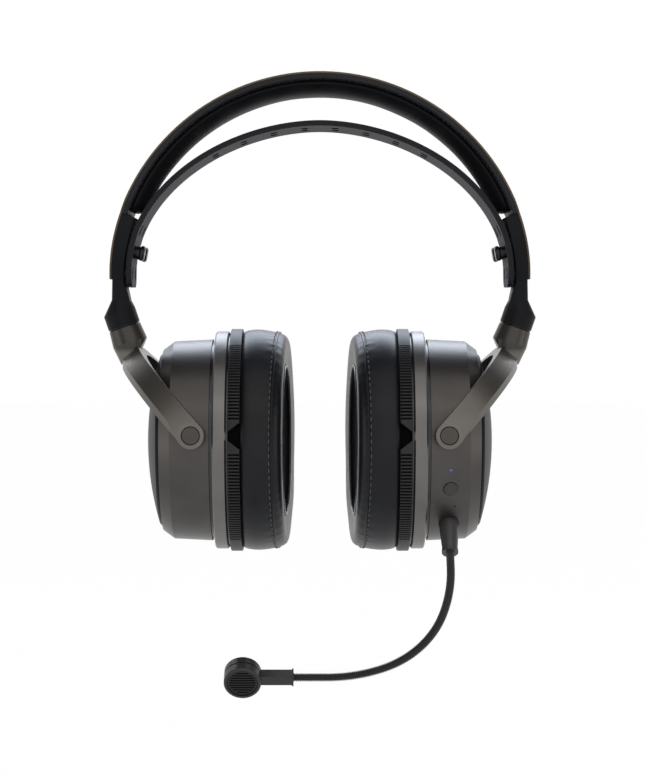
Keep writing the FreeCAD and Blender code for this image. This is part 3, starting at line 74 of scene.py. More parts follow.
# Headband arch. Angles in degrees are above its centre.
ARCH_R = band_high.x
ARCH_CENTRE = Vector((0, 0, band_high.z - ARCH_R))
BAND_THICKNESS = 0.85 * MM

# The leather strip under the band
LINER_END_DEG = 20.0
LINER_THICKNESS = 2.5 * MM
LINER_R = ARCH_R - BAND_THICKNESS - PIECE_GAP
LINER_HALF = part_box("headband_liner")[1].y
LINER_END_HALF = 18.0 * MM
LINER_TAPER = 16.0 * MM       # it widens over this height
LINER_ROLL = 1.15 * MM        # radii of its edges, towards the head and towards the band
LINER_BACK_ROLL = 0.6 * MM
LINER_HEM = 2.6 * MM          # width of the rolled edge, which stands proud of the rest
LINER_HEM_STEP = 0.22 * MM
LINER_HEM_ROLL = 0.4 * MM

# The head cushion
CUSHION_R = LINER_R - LINER_THICKNESS - PIECE_GAP
CUSHION_END_DEG = 21.3
CUSHION_HALF = 19.0 * MM
CUSHION_CROWN = 6.2 * MM
CUSHION_EDGE = 1.3 * MM
CUSHION_FALL = 4.5 * MM       # it thins to a share of its thickness over this length of its ends
CUSHION_FALL_SHARE = 0.12
CUSHION_TAPER = 9.0 * MM      # it narrows to a share of its width over this length of its ends
CUSHION_TAPER_SHARE = 0.72
CUSHION_UNEVEN = 0.12 * MM
BAND_STITCH_DEG = 4.0         # the stitches begin this far inside the cushion's ends
BAND_STITCH_PITCH = 2.6 * MM
BAND_STITCH_LENGTH = 1.8 * MM
BAND_STITCH_R = 0.17 * MM

# Suspension strap
STRAP_THICKNESS = 2.5 * MM
STRAP_HALF = strap_high.y
STRAP_END_HALF = 14.0 * MM
STRAP_POWER = 1.9             # exponent of its rounded outline
STRAP_SHOULDER = ARCH_CENTRE.z + 8.0 * MM    # below this height it runs straight down
STRAP_RISE = strap_high.z - STRAP_SHOULDER
STRAP_TAPER = 23.5 * MM       # above the arch's centre; it narrows from here down
STRAP_TAPER_RUN = 6.0 * MM
STRAP_CORNER = 6.0 * MM
STRAP_EDGE_R = 0.45 * MM
STRAP_SHARP_DEG = 50
STRAP_MESH = 2.2 * MM
STRAP_RIM = STRAP_END_HALF - 6.5 * MM    # from the middle; the edges with painted shade lie outside this
SLOTS_WITHIN = 10.5 * MM      # from the middle; the slot walls painted near-black as shade lie inside this
VENT_SPACING = 14.7 * MM
VENT_COUNT = 8
VENT_LENGTH = 5.4 * MM
VENT_WIDTH = 3.4 * MM
VENT_HALF_SPACING = 4.8 * MM
STUD_DEG = 10.2
STUD_STAND = 0.9 * MM         # outside the strap's face, where STUD_DEG is measured
STUD_HALF_SPACING = 7.5 * MM
HOLE_SPACING = 10.4 * MM
HOLE_LENGTH = 6.0 * MM
HOLE_WIDTH = 4.0 * MM

# Ear pads. Depths are from the ring that carries the pad towards the head.
PAD_TURNS = 240               # columns of points round the pad
PAD_R = pad_high.y
PAD_HALF_Y = 26.0 * MM        # the oval opening
PAD_HALF_Z = 34.0 * MM
PAD_LEAN = 3.0 * MM           # the crest moves this much from the middle to the back
PAD_START = mount_low.x - PIECE_GAP
PAD_CREST = PAD_START - (pad_low.x + PAD_LEAN)    # the crest's depth, in the middle
PAD_FLAT = 4.0 * MM           # the skin begins this far inside the pad's radius
PAD_BACK_EDGE = 1.9 * MM      # and turns into the wall this far inside it
PAD_SEAM_DROP = 4.4 * MM      # seam, below the crest's plane
PAD_SEAM_R = PAD_R - 1.6 * MM
PAD_WALL_SWELL = 1.3 * MM
PAD_LIP = 1.2 * MM            # the inner edge, outside the opening and below the crest
PAD_INNER_DEPTH = 0.3 * MM    # where the inner wall ends
PAD_INNER_LEAN = 1.0 * MM
PAD_INNER_BULGE = 0.8 * MM
PAD_TUCK = 5.0 * MM           # the skin's last row is hidden this far outside the opening
PAD_TUCK_DEPTH = 0.1 * MM
PUCKER_COUNT = 61
PUCKER_DEPTH = 0.10 * MM
PUCKER_REACH = 3.2 * MM       # on both sides of the seam
PUCKER_INSIDE = 5.0 * MM      # none further inside the seam than this
FOAM_SCALE = 45
FOAM_DEPTH = 0.35 * MM
SMOOTH_BACK = 1.0 * MM        # no puckers or unevenness up to this depth
PIPING_R = 0.55 * MM
BEAD_R = 0.48 * MM
BEAD_OUT = 0.9 * MM           # outside the opening
BEAD_DROP = 0.95 * MM         # below the crest
PAD_STITCH_COUNT = 96
PAD_STITCH_R = 0.24 * MM
PAD_STITCH_PLACE = (0.45 * MM, -0.7 * MM)    # lift off the skin and shift beside the seam
PIPING_PLACE = (-0.05 * MM, 0.35 * MM)

# Ribbed rings that carry the pads
MOUNT_R = mount_high.y + 0.1 * MM
MOUNT_BORE_R = MOUNT_R - 14.0 * MM
MOUNT_CORE_R = MOUNT_R - 4.5 * MM
MOUNT_CORE_ROUND = 0.3 * MM
MOUNT_OVERLAP = 0.1 * MM
MOUNT_SHARP_DEG = 35
RIM_BEVEL = 0.45 * MM
RIB_COUNT = 208
RIB_DEPTH = 0.7 * MM
RIB_SHAPE = ((0.0, False), (0.42, False), (0.52, True), (0.90, True))    # share of the pitch, deep
RIB_FREE_HEIGHT = 44.5 * MM   # no ribs further than this above and below the cup's axis
NOTCH_UP = 4.2 * MM
NOTCH_WIDE = 12.4 * MM
NOTCH_NARROW = 3.8 * MM

# Gooseneck. A run is (length, radius, degrees): straight with a length, a bend with the other two.
NECK_R = 1.9 * MM
NECK_PITCH = 0.95 * MM
NECK_RIB = 0.26 * MM
NECK_RIB_POWER = 0.6          # below 1, the ribs are flatter than waves
NECK_SIDES = 20
NECK_STATIONS = 8             # to one rib
BOOT_LENGTH = 16.5 * MM
NECK_INSIDE = 8.35 * MM
NECK_RUNS = ((BOOT_LENGTH - NECK_INSIDE + 8.0 * MM, 0, 0), (0, 70.0 * MM, 20.0), (0, 46.2 * MM, 50.0),
             (0, 70.0 * MM, 20.0), (14.6 * MM, 0, 0))


# Mesh helpers

def link(piece):
    bpy.context.scene.collection.objects.link(piece)
    return piece


def turned_outwards(mesh, merge=False):
    """Points all the faces outwards and shades them smooth."""
    work = bmesh.new()
    work.from_mesh(mesh)
    if merge:
        bmesh.ops.remove_doubles(work, verts=work.verts, dist=SAME_POINT)
    bmesh.ops.recalc_face_normals(work, faces=work.faces)
    work.to_mesh(mesh)
    work.free()
    for polygon in mesh.polygons:
        polygon.use_smooth = True


def mesh_piece(name, points, faces):
    """A new mesh object whose faces all point outwards, whatever their order of points."""
    mesh = bpy.data.meshes.new(name)
    mesh.from_pydata([tuple(point) for point in points], [], faces)
    turned_outwards(mesh, merge=True)
    return link(bpy.data.objects.new(name, mesh))


def tube_faces(rows, columns, first=0, ring=False):
    """Faces of a tube whose point (row, column) is number first + row * columns + column.

    A ring's last row meets its first. Any other tube has a cap on both ends.
    """
    faces = []
    for row in range(rows if ring else rows - 1):
        for column in range(columns):
            below, beside = (row + 1) % rows, (column + 1) % columns
            faces.append([
                first + row * columns + column, first + row * columns + beside,
                first + below * columns + beside, first + below * columns + column,
            ])
    if not ring:
        last = first + (rows - 1) * columns
        faces.append([first + column for column in range(columns)])
        faces.append([last + column for column in reversed(range(columns))])
    return faces


def circle(centre, across, up, radius, sides):
    """Points round a centre, in the plane of two directions."""
    angles = [2 * math.pi * side / sides for side in range(sides)]
    return [centre + (across * math.cos(angle) + up * math.sin(angle)) * radius for angle in angles]


def rounded_outline(corners, steps=4):
    """A closed 2-D outline from corners of (x, y, radius)."""
    points = []
    for index, (x, y, radius) in enumerate(corners):
        here = Vector((x, y))
        back = Vector(corners[index - 1][:2]) - here
        ahead = Vector(corners[(index + 1) % len(corners)][:2]) - here
        reach = min(radius, back.length * 0.45, ahead.length * 0.45)
        start, end = here + back.normalized() * reach, here + ahead.normalized() * reach
        for step in range(steps + 1):
            t = step / steps
            points.append(start * (1 - t) ** 2 + here * (2 * t * (1 - t)) + end * t ** 2)
    return points


def lathe(name, profile, centre, axis, radial, segments=192):
    """A ring from a closed 2-D outline of (along, radius), turned about an axis."""
    side = axis.cross(radial)
    points = []
    for index in range(segments):
        angle = 2 * math.pi * index / segments
        out = radial * math.cos(angle) + side * math.sin(angle)
        points += [centre + axis * along + out * radius for along, radius in profile]
    return mesh_piece(name, points, tube_faces(segments, len(profile), ring=True))


def ring_tube(name, line, radius, sides=10):
    """A closed tube along a ring of points about the cup's axis."""
    points = []
    for index, point in enumerate(line):
        ahead = (line[(index + 1) % len(line)] - line[index - 1]).normalized()
        across = ahead.cross(X).normalized()
        points += circle(point, across, across.cross(ahead), radius, sides)
    return mesh_piece(name, points, tube_faces(len(line), sides, ring=True))


def capsule_row(name, places, radius, sides=8):
    """Short round-ended threads. Each place is (start, end)."""
    shape = ((0.0, 0.25), (0.08, 0.75), (0.25, 1.0), (0.75, 1.0), (0.92, 0.75), (1.0, 0.25))
    points, faces = [], []
    for start, end in places:
        ahead = (end - start).normalized()
        across = ahead.orthogonal().normalized()
        faces += tube_faces(len(shape), sides, first=len(points))
        for share, width in shape:
            points += circle(start.lerp(end, share), across, ahead.cross(across), radius * width, sides)
    return mesh_piece(name, points, faces)


def joined(name, pieces):
    """Several meshes as one object."""
    points, faces = [], []
    for piece in pieces:
        first, mesh = len(points), piece.data
        points += [piece.matrix_world @ vertex.co for vertex in mesh.vertices]
        faces += [[first + i for i in polygon.vertices] for polygon in mesh.polygons]
        bpy.data.objects.remove(piece)
        bpy.data.meshes.remove(mesh)
    made = bpy.data.meshes.new(name)
    made.from_pydata([tuple(point) for point in points], [], faces)
    for polygon in made.polygons:
        polygon.use_smooth = True
    return link(bpy.data.objects.new(name, made))


def mirror_copy(piece, name):
    """The same mesh on the wearer's other side."""
    mesh = piece.data.copy()
    mesh.name = name
    mesh.transform(Matrix.Scale(-1, 4, X))
    mesh.flip_normals()
    return link(bpy.data.objects.new(name, mesh))


def applied(piece):
    """Makes the result of the modifiers the piece's own mesh."""
    bpy.context.view_layer.update()
    graph = bpy.context.evaluated_depsgraph_get()
    done = bpy.data.meshes.new_from_object(piece.evaluated_get(graph))
    old = piece.data
    piece.modifiers.clear()
    piece.data = done
    bpy.data.meshes.remove(old)
    return piece


def subdivided(piece):
    smooth = piece.modifiers.new("smooth", "SUBSURF")
    smooth.levels = smooth.render_levels = 1
    return applied(piece)


def bevelled(piece, width, angle=35):
    """Small rounded edges, as real geometry."""
    bevel = piece.modifiers.new("edges", "BEVEL")
    bevel.width = width
    bevel.segments = 2
    bevel.limit_method = "ANGLE"
    bevel.angle_limit = math.radians(angle)
    bevel.miter_outer = "MITER_ARC"


# Material helpers

def wire(tree, node, inputs):
    """Links each input of a node to a socket, or sets it to a value."""
    for key, value in inputs.items():
        if isinstance(value, bpy.types.NodeSocket):
            tree.links.new(value, node.inputs[key])
        else:
            node.inputs[key].default_value = value
    return node


def add_node(tree, kind, inputs, **settings):
    made = tree.nodes.new(f"ShaderNode{kind}")
    for key, value in settings.items():
        setattr(made, key, value)
    return wire(tree, made, inputs)


def calc(tree, operation, first, second):
    return add_node(tree, "Math", {0: first, 1: second}, operation=operation).outputs["Value"]


def tint(colour, factor):
    return tuple(min(1.0, c * factor) for c in colour)


class Look:
    """A material while its nodes are put together."""

    def __init__(self, name):
        self.material = bpy.data.materials.new(name)
        self.material.use_nodes = True
        self.tree = self.material.node_tree
        self.shader = self.tree.nodes["Principled BSDF"]
        self.place = self.add("TexCoord", {}).outputs["Object"]

    def add(self, kind, inputs, **settings):
        return add_node(self.tree, kind, inputs, **settings)

    def noise(self, scale, detail, rough=0.5):
        made = self.add("TexNoise", {
            "Vector": self.place, "Scale": scale, "Detail": detail, "Roughness": rough,
        })
        return made.outputs["Fac"]

    def ramp(self, factor, low, high):
        """A blend between two stops of (position, colour)."""
        made = self.add("ValToRGB", {"Fac": factor})
        for element, (at, colour) in zip(made.color_ramp.elements, (low, high)):
            element.position = at
            element.color = (*colour, 1.0)
        return made.outputs["Color"]

    def span(self, factor, low, high):
        """The factor's 0 to 1 mapped to a range of values."""
        made = self.add("MapRange", {"Value": factor, "To Min": low, "To Max": high})
        return made.outputs["Result"]

    def finished(self, inputs, *heights):
        """The material, with its shader's inputs and stacked bumps of (height, strength, distance)."""
        normal = {}
        for height, strength, distance in heights:
            made = self.add("Bump", {
                "Height": height, "Strength": strength, "Distance": distance, **normal,
            })
            normal = {"Normal": made.outputs["Normal"]}
        wire(self.tree, self.shader, {**inputs, **normal})
        return self.material


def collar_painted_shade(look, below, shade_colour):
    """One colour up to the fork's collar, and a darker one on it: painted shade."""
    height = look.add("SeparateXYZ", {"Vector": look.place}).outputs["Z"]
    above = look.add("MapRange", {
        "Value": height, "From Min": COLLAR_Z - COLLAR_FADE, "From Max": COLLAR_Z + COLLAR_FADE,
    })
    mixed = look.add("Mix", {}, data_type="RGBA")
    first, second = [socket for socket in mixed.inputs if socket.type == "RGBA"]
    look.tree.links.new(above.outputs["Result"], mixed.inputs["Factor"])
    look.tree.links.new(below, first)
    second.default_value = (*shade_colour, 1.0)
    return next(socket for socket in mixed.outputs if socket.type == "RGBA")


def satin_metal(name, colour, roughness=0.34, metallic=0.92, collar=None):
    """Bead-blasted and coated metal: a fine grain, with slightly uneven gloss."""
    look = Look(name)
    cloud, fine = look.noise(60, 2.0), look.noise(2400, 2.0, 0.7)
    shade = look.ramp(cloud, (0.35, tint(colour, 0.93)), (0.65, tint(colour, 1.07)))
    # A darker colour on the fork's collar: painted shade.
    if collar:
        shade = collar_painted_shade(look, shade, collar)
    return look.finished({
        "Base Color": shade,
        "Metallic": metallic,
        "Roughness": look.span(fine, roughness - 0.06, roughness + 0.08),
    }, (fine, 0.3, 0.05 * MM))


def moulded(name, colour, roughness=0.42, grain=0.18, scale=2600, gloss=0.3):
    """Moulded plastic or rubber with a fine spark-eroded texture."""
    look = Look(name)
    cloud, fine = look.noise(90, 2.0), look.noise(scale, 3.0, 0.6)
    return look.finished({
        "Base Color": look.ramp(cloud, (0.3, tint(colour, 0.9)), (0.7, tint(colour, 1.1))),
        "Roughness": look.span(fine, roughness - 0.05, roughness + 0.07),
        "Specular IOR Level": gloss,
    }, (fine, grain, 0.04 * MM))


def leather(name, colour, roughness, gloss, cell=1500, grain=0.25):
    """Soft black leatherette: small rounded cells with creases between them."""
    look = Look(name)
    warped = look.add("VectorMath", {
        0: look.noise(250, 2.0), 1: (0.0012, 0.0012, 0.0012), 2: look.place,
    }, operation="MULTIPLY_ADD")
    cells = look.add("TexVoronoi", {
        "Vector": warped.outputs["Vector"], "Scale": cell, "Smoothness": 0.4,
    }, feature="SMOOTH_F1")
    pores, cloud = look.noise(4200, 2.0, 0.6), look.noise(45, 3.0)
    return look.finished({
        "Base Color": look.ramp(cloud, (0.3, tint(colour, 0.85)), (0.7, tint(colour, 1.15))),
        "Roughness": look.span(cloud, roughness - 0.05, roughness + 0.06),
        "Specular IOR Level": gloss,
        "Sheen Weight": 0.05,
        "Sheen Roughness": 0.4,
    }, (cells.outputs["Distance"], grain, 0.12 * MM), (pores, 0.15, 0.03 * MM))


def knit(name, colour):
    """Open acoustic cloth."""
    look = Look(name)
    cells = look.add("TexVoronoi", {"Vector": look.place, "Scale": 1400, "Randomness": 0.15})
    weave = cells.outputs["Distance"]
    return look.finished({
        "Base Color": look.ramp(weave, (0.2, tint(colour, 1.6)), (0.7, tint(colour, 0.3))),
        "Roughness": 0.85,
        "Sheen Weight": 0.3,
    }, (weave, 0.6, 0.15 * MM))


def glowing(name, colour, strength):
    look = Look(name)
    return look.finished({
        "Base Color": look.ramp(look.noise(900, 1.0), (0.3, tint(colour, 0.9)), (0.7, colour)),
        "Emission Color": (*colour, 1.0),
        "Emission Strength": strength,
        "Roughness": 0.2,
    })


def painted(piece, look):
    """Puts one material on every face."""
    piece.data.materials.clear()
    piece.data.materials.append(look)
    for polygon in piece.data.polygons:
        polygon.material_index = 0
    return piece


BRONZE = satin_metal("bronze_coat", (0.077, 0.072, 0.069))
# A lighter copy of the shell's bronze: painted light on the fork's legs, and painted shade on its collar.
FORK_BRONZE_LIT = satin_metal("bronze_fork_painted_light", (0.140, 0.131, 0.119), collar=(0.060, 0.056, 0.052))
RING_BRONZE = satin_metal("bronze_ring", (0.150, 0.144, 0.141))
BAND_BRONZE = satin_metal("bronze_band", (0.10, 0.077, 0.055), roughness=0.45)
BLACK_METAL = satin_metal("black_metal", (0.05, 0.052, 0.056), roughness=0.26, metallic=0.85)
BUTTON = satin_metal("button_coat", (0.062, 0.06, 0.059), roughness=0.4)
STEEL = satin_metal("bright_steel", (0.55, 0.55, 0.56), roughness=0.24, metallic=1.0)
PIN = satin_metal("pin_bronze", (0.070, 0.064, 0.059))
BRASS = satin_metal("gold_plate", (0.80, 0.60, 0.28), roughness=0.22, metallic=1.0)
BUSH = satin_metal("dark_bush", (0.02, 0.02, 0.02), roughness=0.28)
MAGNET = satin_metal("magnet", (0.45, 0.45, 0.46), roughness=0.25, metallic=1.0)

BLACK = moulded("black_moulding", (0.006, 0.0066, 0.0082), gloss=0.12)
RIBBED = moulded("ribbed_moulding", (0.015, 0.0153, 0.017), roughness=0.45)
THREAD = moulded("thread", (0.085, 0.087, 0.095), roughness=0.6, scale=6000)
SEAM = moulded("seam_thread", (0.006, 0.006, 0.007), roughness=0.6, scale=6000)
STRAP = moulded("strap_rubber", (0.014, 0.0155, 0.024), roughness=0.62, grain=0.12, gloss=0.22)
# Painted shade: darker rubber on the strap's edges and its outer side.
STRAP_SHADE = moulded("strap_edge_painted_shade", (0.006, 0.0065, 0.009), roughness=0.48, grain=0.3, gloss=0.2)
GLOSS = moulded("gloss_black", (0.004, 0.004, 0.0045), roughness=0.3, grain=0.05)
BOOT = moulded("boot_rubber", (0.040, 0.041, 0.044), roughness=0.38, gloss=0.5)
NECK = moulded("gooseneck_rubber", (0.020, 0.0205, 0.0215), grain=0.1, gloss=0.4)
MIC = moulded("mic_moulding", (0.020, 0.0195, 0.0185), gloss=0.45)
GRILLE = moulded("mic_grille", (0.008, 0.008, 0.009), roughness=0.4)
BOARD = moulded("board_green", (0.02, 0.09, 0.04), roughness=0.35)
WRAP = moulded("battery_wrap", (0.10, 0.12, 0.20), roughness=0.3)
# Painted shade: near-black for recesses, the ribbed ring's core and rib grooves, and the strap's slot walls.
SHADE_BLACK = moulded("painted_shade_black", (0.002, 0.002, 0.0022), roughness=0.7, gloss=0.05)
FILM = moulded("diaphragm_film", (0.45, 0.40, 0.30), roughness=0.25)
FRAME = moulded("driver_frame", (0.05, 0.05, 0.055), roughness=0.5)

LEATHER = leather("pad_leather", (0.006, 0.0066, 0.009), roughness=0.34, gloss=0.22, grain=0.3)
# Painted highlight: a much lighter, glossier leather on the fine bead round the pad's opening.
BEAD_HIGHLIGHT = leather("bead_painted_highlight", (0.07, 0.073, 0.085), roughness=0.27, gloss=0.5, cell=2200, grain=0.1)
LINER_LEATHER = leather("liner_leather", (0.018, 0.019, 0.023), roughness=0.44, gloss=0.14)
BAND_LEATHER = leather("band_leather", (0.0045, 0.0048, 0.0064), roughness=0.46, gloss=0.1)
CLOTH = knit("driver_cloth", (0.010, 0.010, 0.012))
LIGHT = glowing("status_light", (0.07, 0.17, 0.42), 0.12)


# The CAD nodes that keep their shape: a finish, and small edges rounded by so many millimetres

SIDE_FINISHES = (
    ("arm", BLACK, 0.25), ("slider_blade", STEEL, 0.1), ("slider_end", BLACK, 0.2), ("swivel_pin", PIN, 0.2),
    ("yoke", FORK_BRONZE_LIT, 0.25), ("swivel_bush", BUSH, 0.08), ("pivot_screws", PIN, 0.3),
    ("cup_shell", BRONZE, 0.25), ("outer_cover", BLACK, 0.2), ("trim_ring", RING_BRONZE, 0.15),
    ("baffle", BLACK_METAL, 0.15), ("driver_frame", FRAME, 0), ("driver_magnets", MAGNET, 0),
    ("driver_diaphragm", FILM, 0), ("pad_scrim", CLOTH, 0),
)
FINISHES = (
    ("headband_spring", BAND_BRONZE, 0.12), ("arm_screws", STEEL, 0), ("strap_studs", STEEL, 0),
    ("strap_knobs", GLOSS, 0.15), ("main_board", BOARD, 0), ("battery", WRAP, 0), ("mic_socket", BLACK, 0),
    ("audio_socket", BLACK, 0), ("charging_socket", STEEL, 0), ("front_button", BUTTON, 0.1),
    ("power_button", BUTTON, 0.1), ("status_light", LIGHT, 0), ("volume_wheel", BUTTON, 0.1),
    ("wheel_axle", STEEL, 0), ("boom_plug", BRASS, 0), ("boom_boot", BOOT, 0.3), ("mic_stem", MIC, 0),
    ("mic_housing", MIC, 0.2), ("mic_grille", GRILLE, 0.08), ("mic_capsule", MAGNET, 0),
)


def finish_nodes():
    both_sides = tuple((f"{name}_{side}", look, edge) for side in SIDES for name, look, edge in SIDE_FINISHES)
    for name, look, edge in both_sides + FINISHES:
        node = painted(frame["nodes"][name], look)
        if edge:
            bevelled(node, edge * MM)


finish_nodes()


# Camera, light and floor

CAMERA_PLACE = (0, -1.0, -95.2 * MM)
CAMERA_AIM = Vector((1.2 * MM, 0, -121.0 * MM))
LENS = 98.98                  # for SENSOR along the frame's long side
SENSOR = 36.0
FLOOR_Z = -330.0 * MM
FLOOR_REACH = 6.0
FLOOR_WHITE = 0.99            # the share of plain white in what the camera sees of the floor
WORLD_LEVEL = 0.12
BACKDROP_FROM = 0.1           # the backdrop's edge, in the Y of a direction
BACKDROP_TO = 0.7
LAMP_AIM = Vector((0, 0, -100 * MM))
LAMPS = (                     # name, place, size, watts, colour
    ("top_light", (0, 0.8, 0.62), (1.4, 0.5), 11, (0.74, 0.84, 1.0)),
    ("left_light", (-1.3, -0.4, -0.1), (0.7, 1.1), 3.5, (1.0, 0.97, 0.93)),
    ("right_light", (1.3, -0.4, -0.1), (0.7, 1.1), 3.5, (1.0, 0.97, 0.93)),
    ("front_light", (0.2, -1.6, 0.45), (2.4, 1.6), 12, (1.0, 0.97, 0.94)),
    ("high_light", (0.1, -0.8, 1.2), (2.0, 1.2), 7, (1.0, 0.97, 0.95)),
)


def aimed(name, data, place, target):
    piece = link(bpy.data.objects.new(name, data))
    piece.location = place
    piece.rotation_euler = (target - piece.location).to_track_quat("-Z", "Y").to_euler()
    return piece


def add_camera():
    data = bpy.data.cameras.new("camera")
    data.lens = LENS
    data.sensor_width = SENSOR
    bpy.context.scene.camera = aimed("camera", data, CAMERA_PLACE, CAMERA_AIM)


def add_lamps():
    for name, place, size, watts, colour in LAMPS:
        data = bpy.data.lights.new(name, "AREA")
        data.shape = "RECTANGLE"
        data.size, data.size_y = size
        data.energy = watts
        data.color = colour
        aimed(name, data, place, LAMP_AIM)


def ray_kinds(tree):
    """Whether a ray comes from the camera, and whether gloss or glass sends it on."""
    path = add_node(tree, "LightPath", {}).outputs
    return path["Is Camera Ray"], calc(tree, "MAXIMUM", path["Is Glossy Ray"], path["Is Transmission Ray"])


def add_world():
    """Plain grey light. The camera sees white all round, and gloss and glass see it behind the object."""
    world = bpy.data.worlds.new("studio")
    bpy.context.scene.world = world
    world.use_nodes = True
    tree = world.node_tree
    light = wire(tree, tree.nodes["Background"], {"Color": (0.95, 0.97, 1.0, 1.0), "Strength": WORLD_LEVEL})
    white = add_node(tree, "Background", {"Color": (1.0, 1.0, 1.0, 1.0), "Strength": 1.0})
    camera, mirrored = ray_kinds(tree)
    view = add_node(tree, "TexCoord", {}).outputs["Generated"]
    direction = add_node(tree, "SeparateXYZ", {"Vector": view})
    behind = add_node(tree, "MapRange", {
        "Value": direction.outputs["Y"], "From Min": BACKDROP_FROM, "From Max": BACKDROP_TO,
    }, interpolation_type="SMOOTHSTEP")
    backdrop = calc(tree, "MULTIPLY", mirrored, behind.outputs["Result"])
    mix = add_node(tree, "MixShader", {
        "Fac": calc(tree, "MAXIMUM", camera, backdrop),
        1: light.outputs["Background"], 2: white.outputs["Background"],
    })
    wire(tree, tree.nodes["World Output"], {"Surface": mix.outputs["Shader"]})


def add_floor():
    """A wide pale floor, whose colour reaches white where nothing shades it."""
    corners = [(x * FLOOR_REACH, y * FLOOR_REACH, FLOOR_Z) for x, y in ((-1, -1), (1, -1), (1, 1), (-1, 1))]
    floor = mesh_piece("floor", corners, [[0, 1, 2, 3]])
    look = Look("floor_white")
    glow = look.add("Emission", {"Strength": 1.0})
    seen = calc(look.tree, "MAXIMUM", *ray_kinds(look.tree))
    mix = look.add("MixShader", {
        "Fac": calc(look.tree, "MULTIPLY", seen, FLOOR_WHITE),
        1: look.shader.outputs["BSDF"], 2: glow.outputs["Emission"],
    })
    wire(look.tree, look.tree.nodes["Material Output"], {"Surface": mix.outputs["Shader"]})
    pale = look.finished({"Base Color": (0.8, 0.8, 0.8, 1.0), "Roughness": 0.9, "Specular IOR Level": 0.0})
    painted(floor, pale)


add_camera()
add_world()
add_floor()
add_lamps()
bpy.context.scene.view_settings.view_transform = "Standard"


# Pieces in place of plain CAD solids

def settled(piece, look, body, replaced=None):
    """Paints a piece, attaches it to its body, and hides the CAD node that it stands in for."""
    painted(piece, look)
    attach(piece, body)
    if replaced:
        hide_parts(replaced)


def settled_pair(piece, look, body, replaced=None):
    """Settles a left piece and its mirror image."""
    base = piece.name.removesuffix("_left")
    pair = (piece, mirror_copy(piece, f"{base}_right"))
    for side, one in zip(SIDES, pair):
        settled(one, look, f"{body}_{side}", replaced and f"{replaced}_{side}")
    return pair


CLOTH_FRAMES = 20
CLOTH_SETTINGS = {
    "quality": 6, "mass": 0.25, "tension_stiffness": 18, "compression_stiffness": 18, "shear_stiffness": 8,
    "bending_stiffness": 1.5, "tension_damping": 15, "compression_damping": 15, "use_pressure": True,
}


def fill_out(piece, held, pressure, cap):
    """Fills a skin out between its held points with a short cloth simulation, then keeps the result."""
    start = np.array([vertex.co[:] for vertex in piece.data.vertices])
    piece.vertex_groups.new(name="held").add(held, 1.0, "REPLACE")
    cloth = piece.modifiers.new("cloth", "CLOTH")
    for key, value in CLOTH_SETTINGS.items():
        setattr(cloth.settings, key, value)
    cloth.settings.uniform_pressure_force = pressure
    cloth.settings.vertex_group_mass = "held"
    cloth.settings.effector_weights.gravity = 0
    cloth.collision_settings.use_collision = False
    cloth.point_cache.frame_start, cloth.point_cache.frame_end = 1, CLOTH_FRAMES
    for step in range(1, CLOTH_FRAMES + 1):
        bpy.context.scene.frame_set(step)
    solved = piece.evaluated_get(bpy.context.evaluated_depsgraph_get())
    moved = np.array([vertex.co[:] for vertex in solved.to_mesh().vertices]) - start
    solved.to_mesh_clear()
    piece.modifiers.remove(cloth)
    bpy.context.scene.frame_set(1)
    length = np.linalg.norm(moved, axis=1, keepdims=True)
    moved *= np.minimum(1.0, cap / np.maximum(length, 1e-9))
    piece.data.vertices.foreach_set("co", (start + moved).ravel())
    piece.data.update()
    piece.vertex_groups.clear()


# Ear pads

def pad_hole_r(angle):
    return 1 / math.hypot(math.cos(angle) / PAD_HALF_Y, math.sin(angle) / PAD_HALF_Z)


def pad_point(angle, depth, radius):
    """A point of the left pad."""
    return Vector((PAD_START - depth, radius * math.cos(angle), CUP.z + radius * math.sin(angle)))


def crest_depth(angle, radius):
    return PAD_CREST + PAD_LEAN * radius * math.cos(angle) / PAD_R


def seam_depth(angle):
    return crest_depth(angle, PAD_R) - PAD_SEAM_DROP


def shares(steps):
    """Evenly spaced shares between 0 and 1."""
    return [step / steps for step in range(1, steps)]


def pad_profile(angle):
    """The skin's section at an angle, from its hidden outer edge round to the inner one.

    A point is (depth, radius, whether the cloth simulation holds it).
    """
    seam = seam_depth(angle)
    lip_r = pad_hole_r(angle) + PAD_LIP
    lip = crest_depth(angle, lip_r) - PAD_LIP
    profile = [(0.0, PAD_R - PAD_FLAT, True), (0.0, PAD_R - PAD_BACK_EDGE, True)]
    for share in shares(13):
        swell = math.sin(math.pi * share ** 0.8) * PAD_WALL_SWELL
        profile.append((seam * share, PAD_SEAM_R + swell, False))
    profile.append((seam, PAD_SEAM_R, True))
    for share in shares(13):
        radius = PAD_SEAM_R * (1 - share) + lip_r * share
        line = seam * (1 - share) + lip * share
        swell = math.sin(math.pi * share ** 0.62) ** 0.8
        profile.append((line + (crest_depth(angle, radius) - line) * swell, radius, False))
    profile.append((lip, lip_r, True))
    for share in shares(8) + [1.0]:
        lean = PAD_INNER_LEAN * share ** 0.5 + math.sin(math.pi * share) * PAD_INNER_BULGE
        profile.append((lip * (1 - share) + PAD_INNER_DEPTH * share, lip_r - lean, share == 1.0))
    profile.append((PAD_TUCK_DEPTH, pad_hole_r(angle) + PAD_TUCK, True))
    return profile


def ear_pad():
    angles = [2 * math.pi * turn / PAD_TURNS for turn in range(PAD_TURNS)]
    rows = list(zip(*map(pad_profile, angles)))
    points, held = [], []
    for row in rows:
        for angle, (depth, radius, is_held) in zip(angles, row):
            if is_held:
                held.append(len(points))
            points.append(pad_point(angle, depth, radius))
    pad = mesh_piece("ear_pad_skin_left", points, tube_faces(len(rows), PAD_TURNS, ring=True))
    fill_out(pad, held, 3.0, 1.2 * MM)
    crease(pad)
    return subdivided(pad)


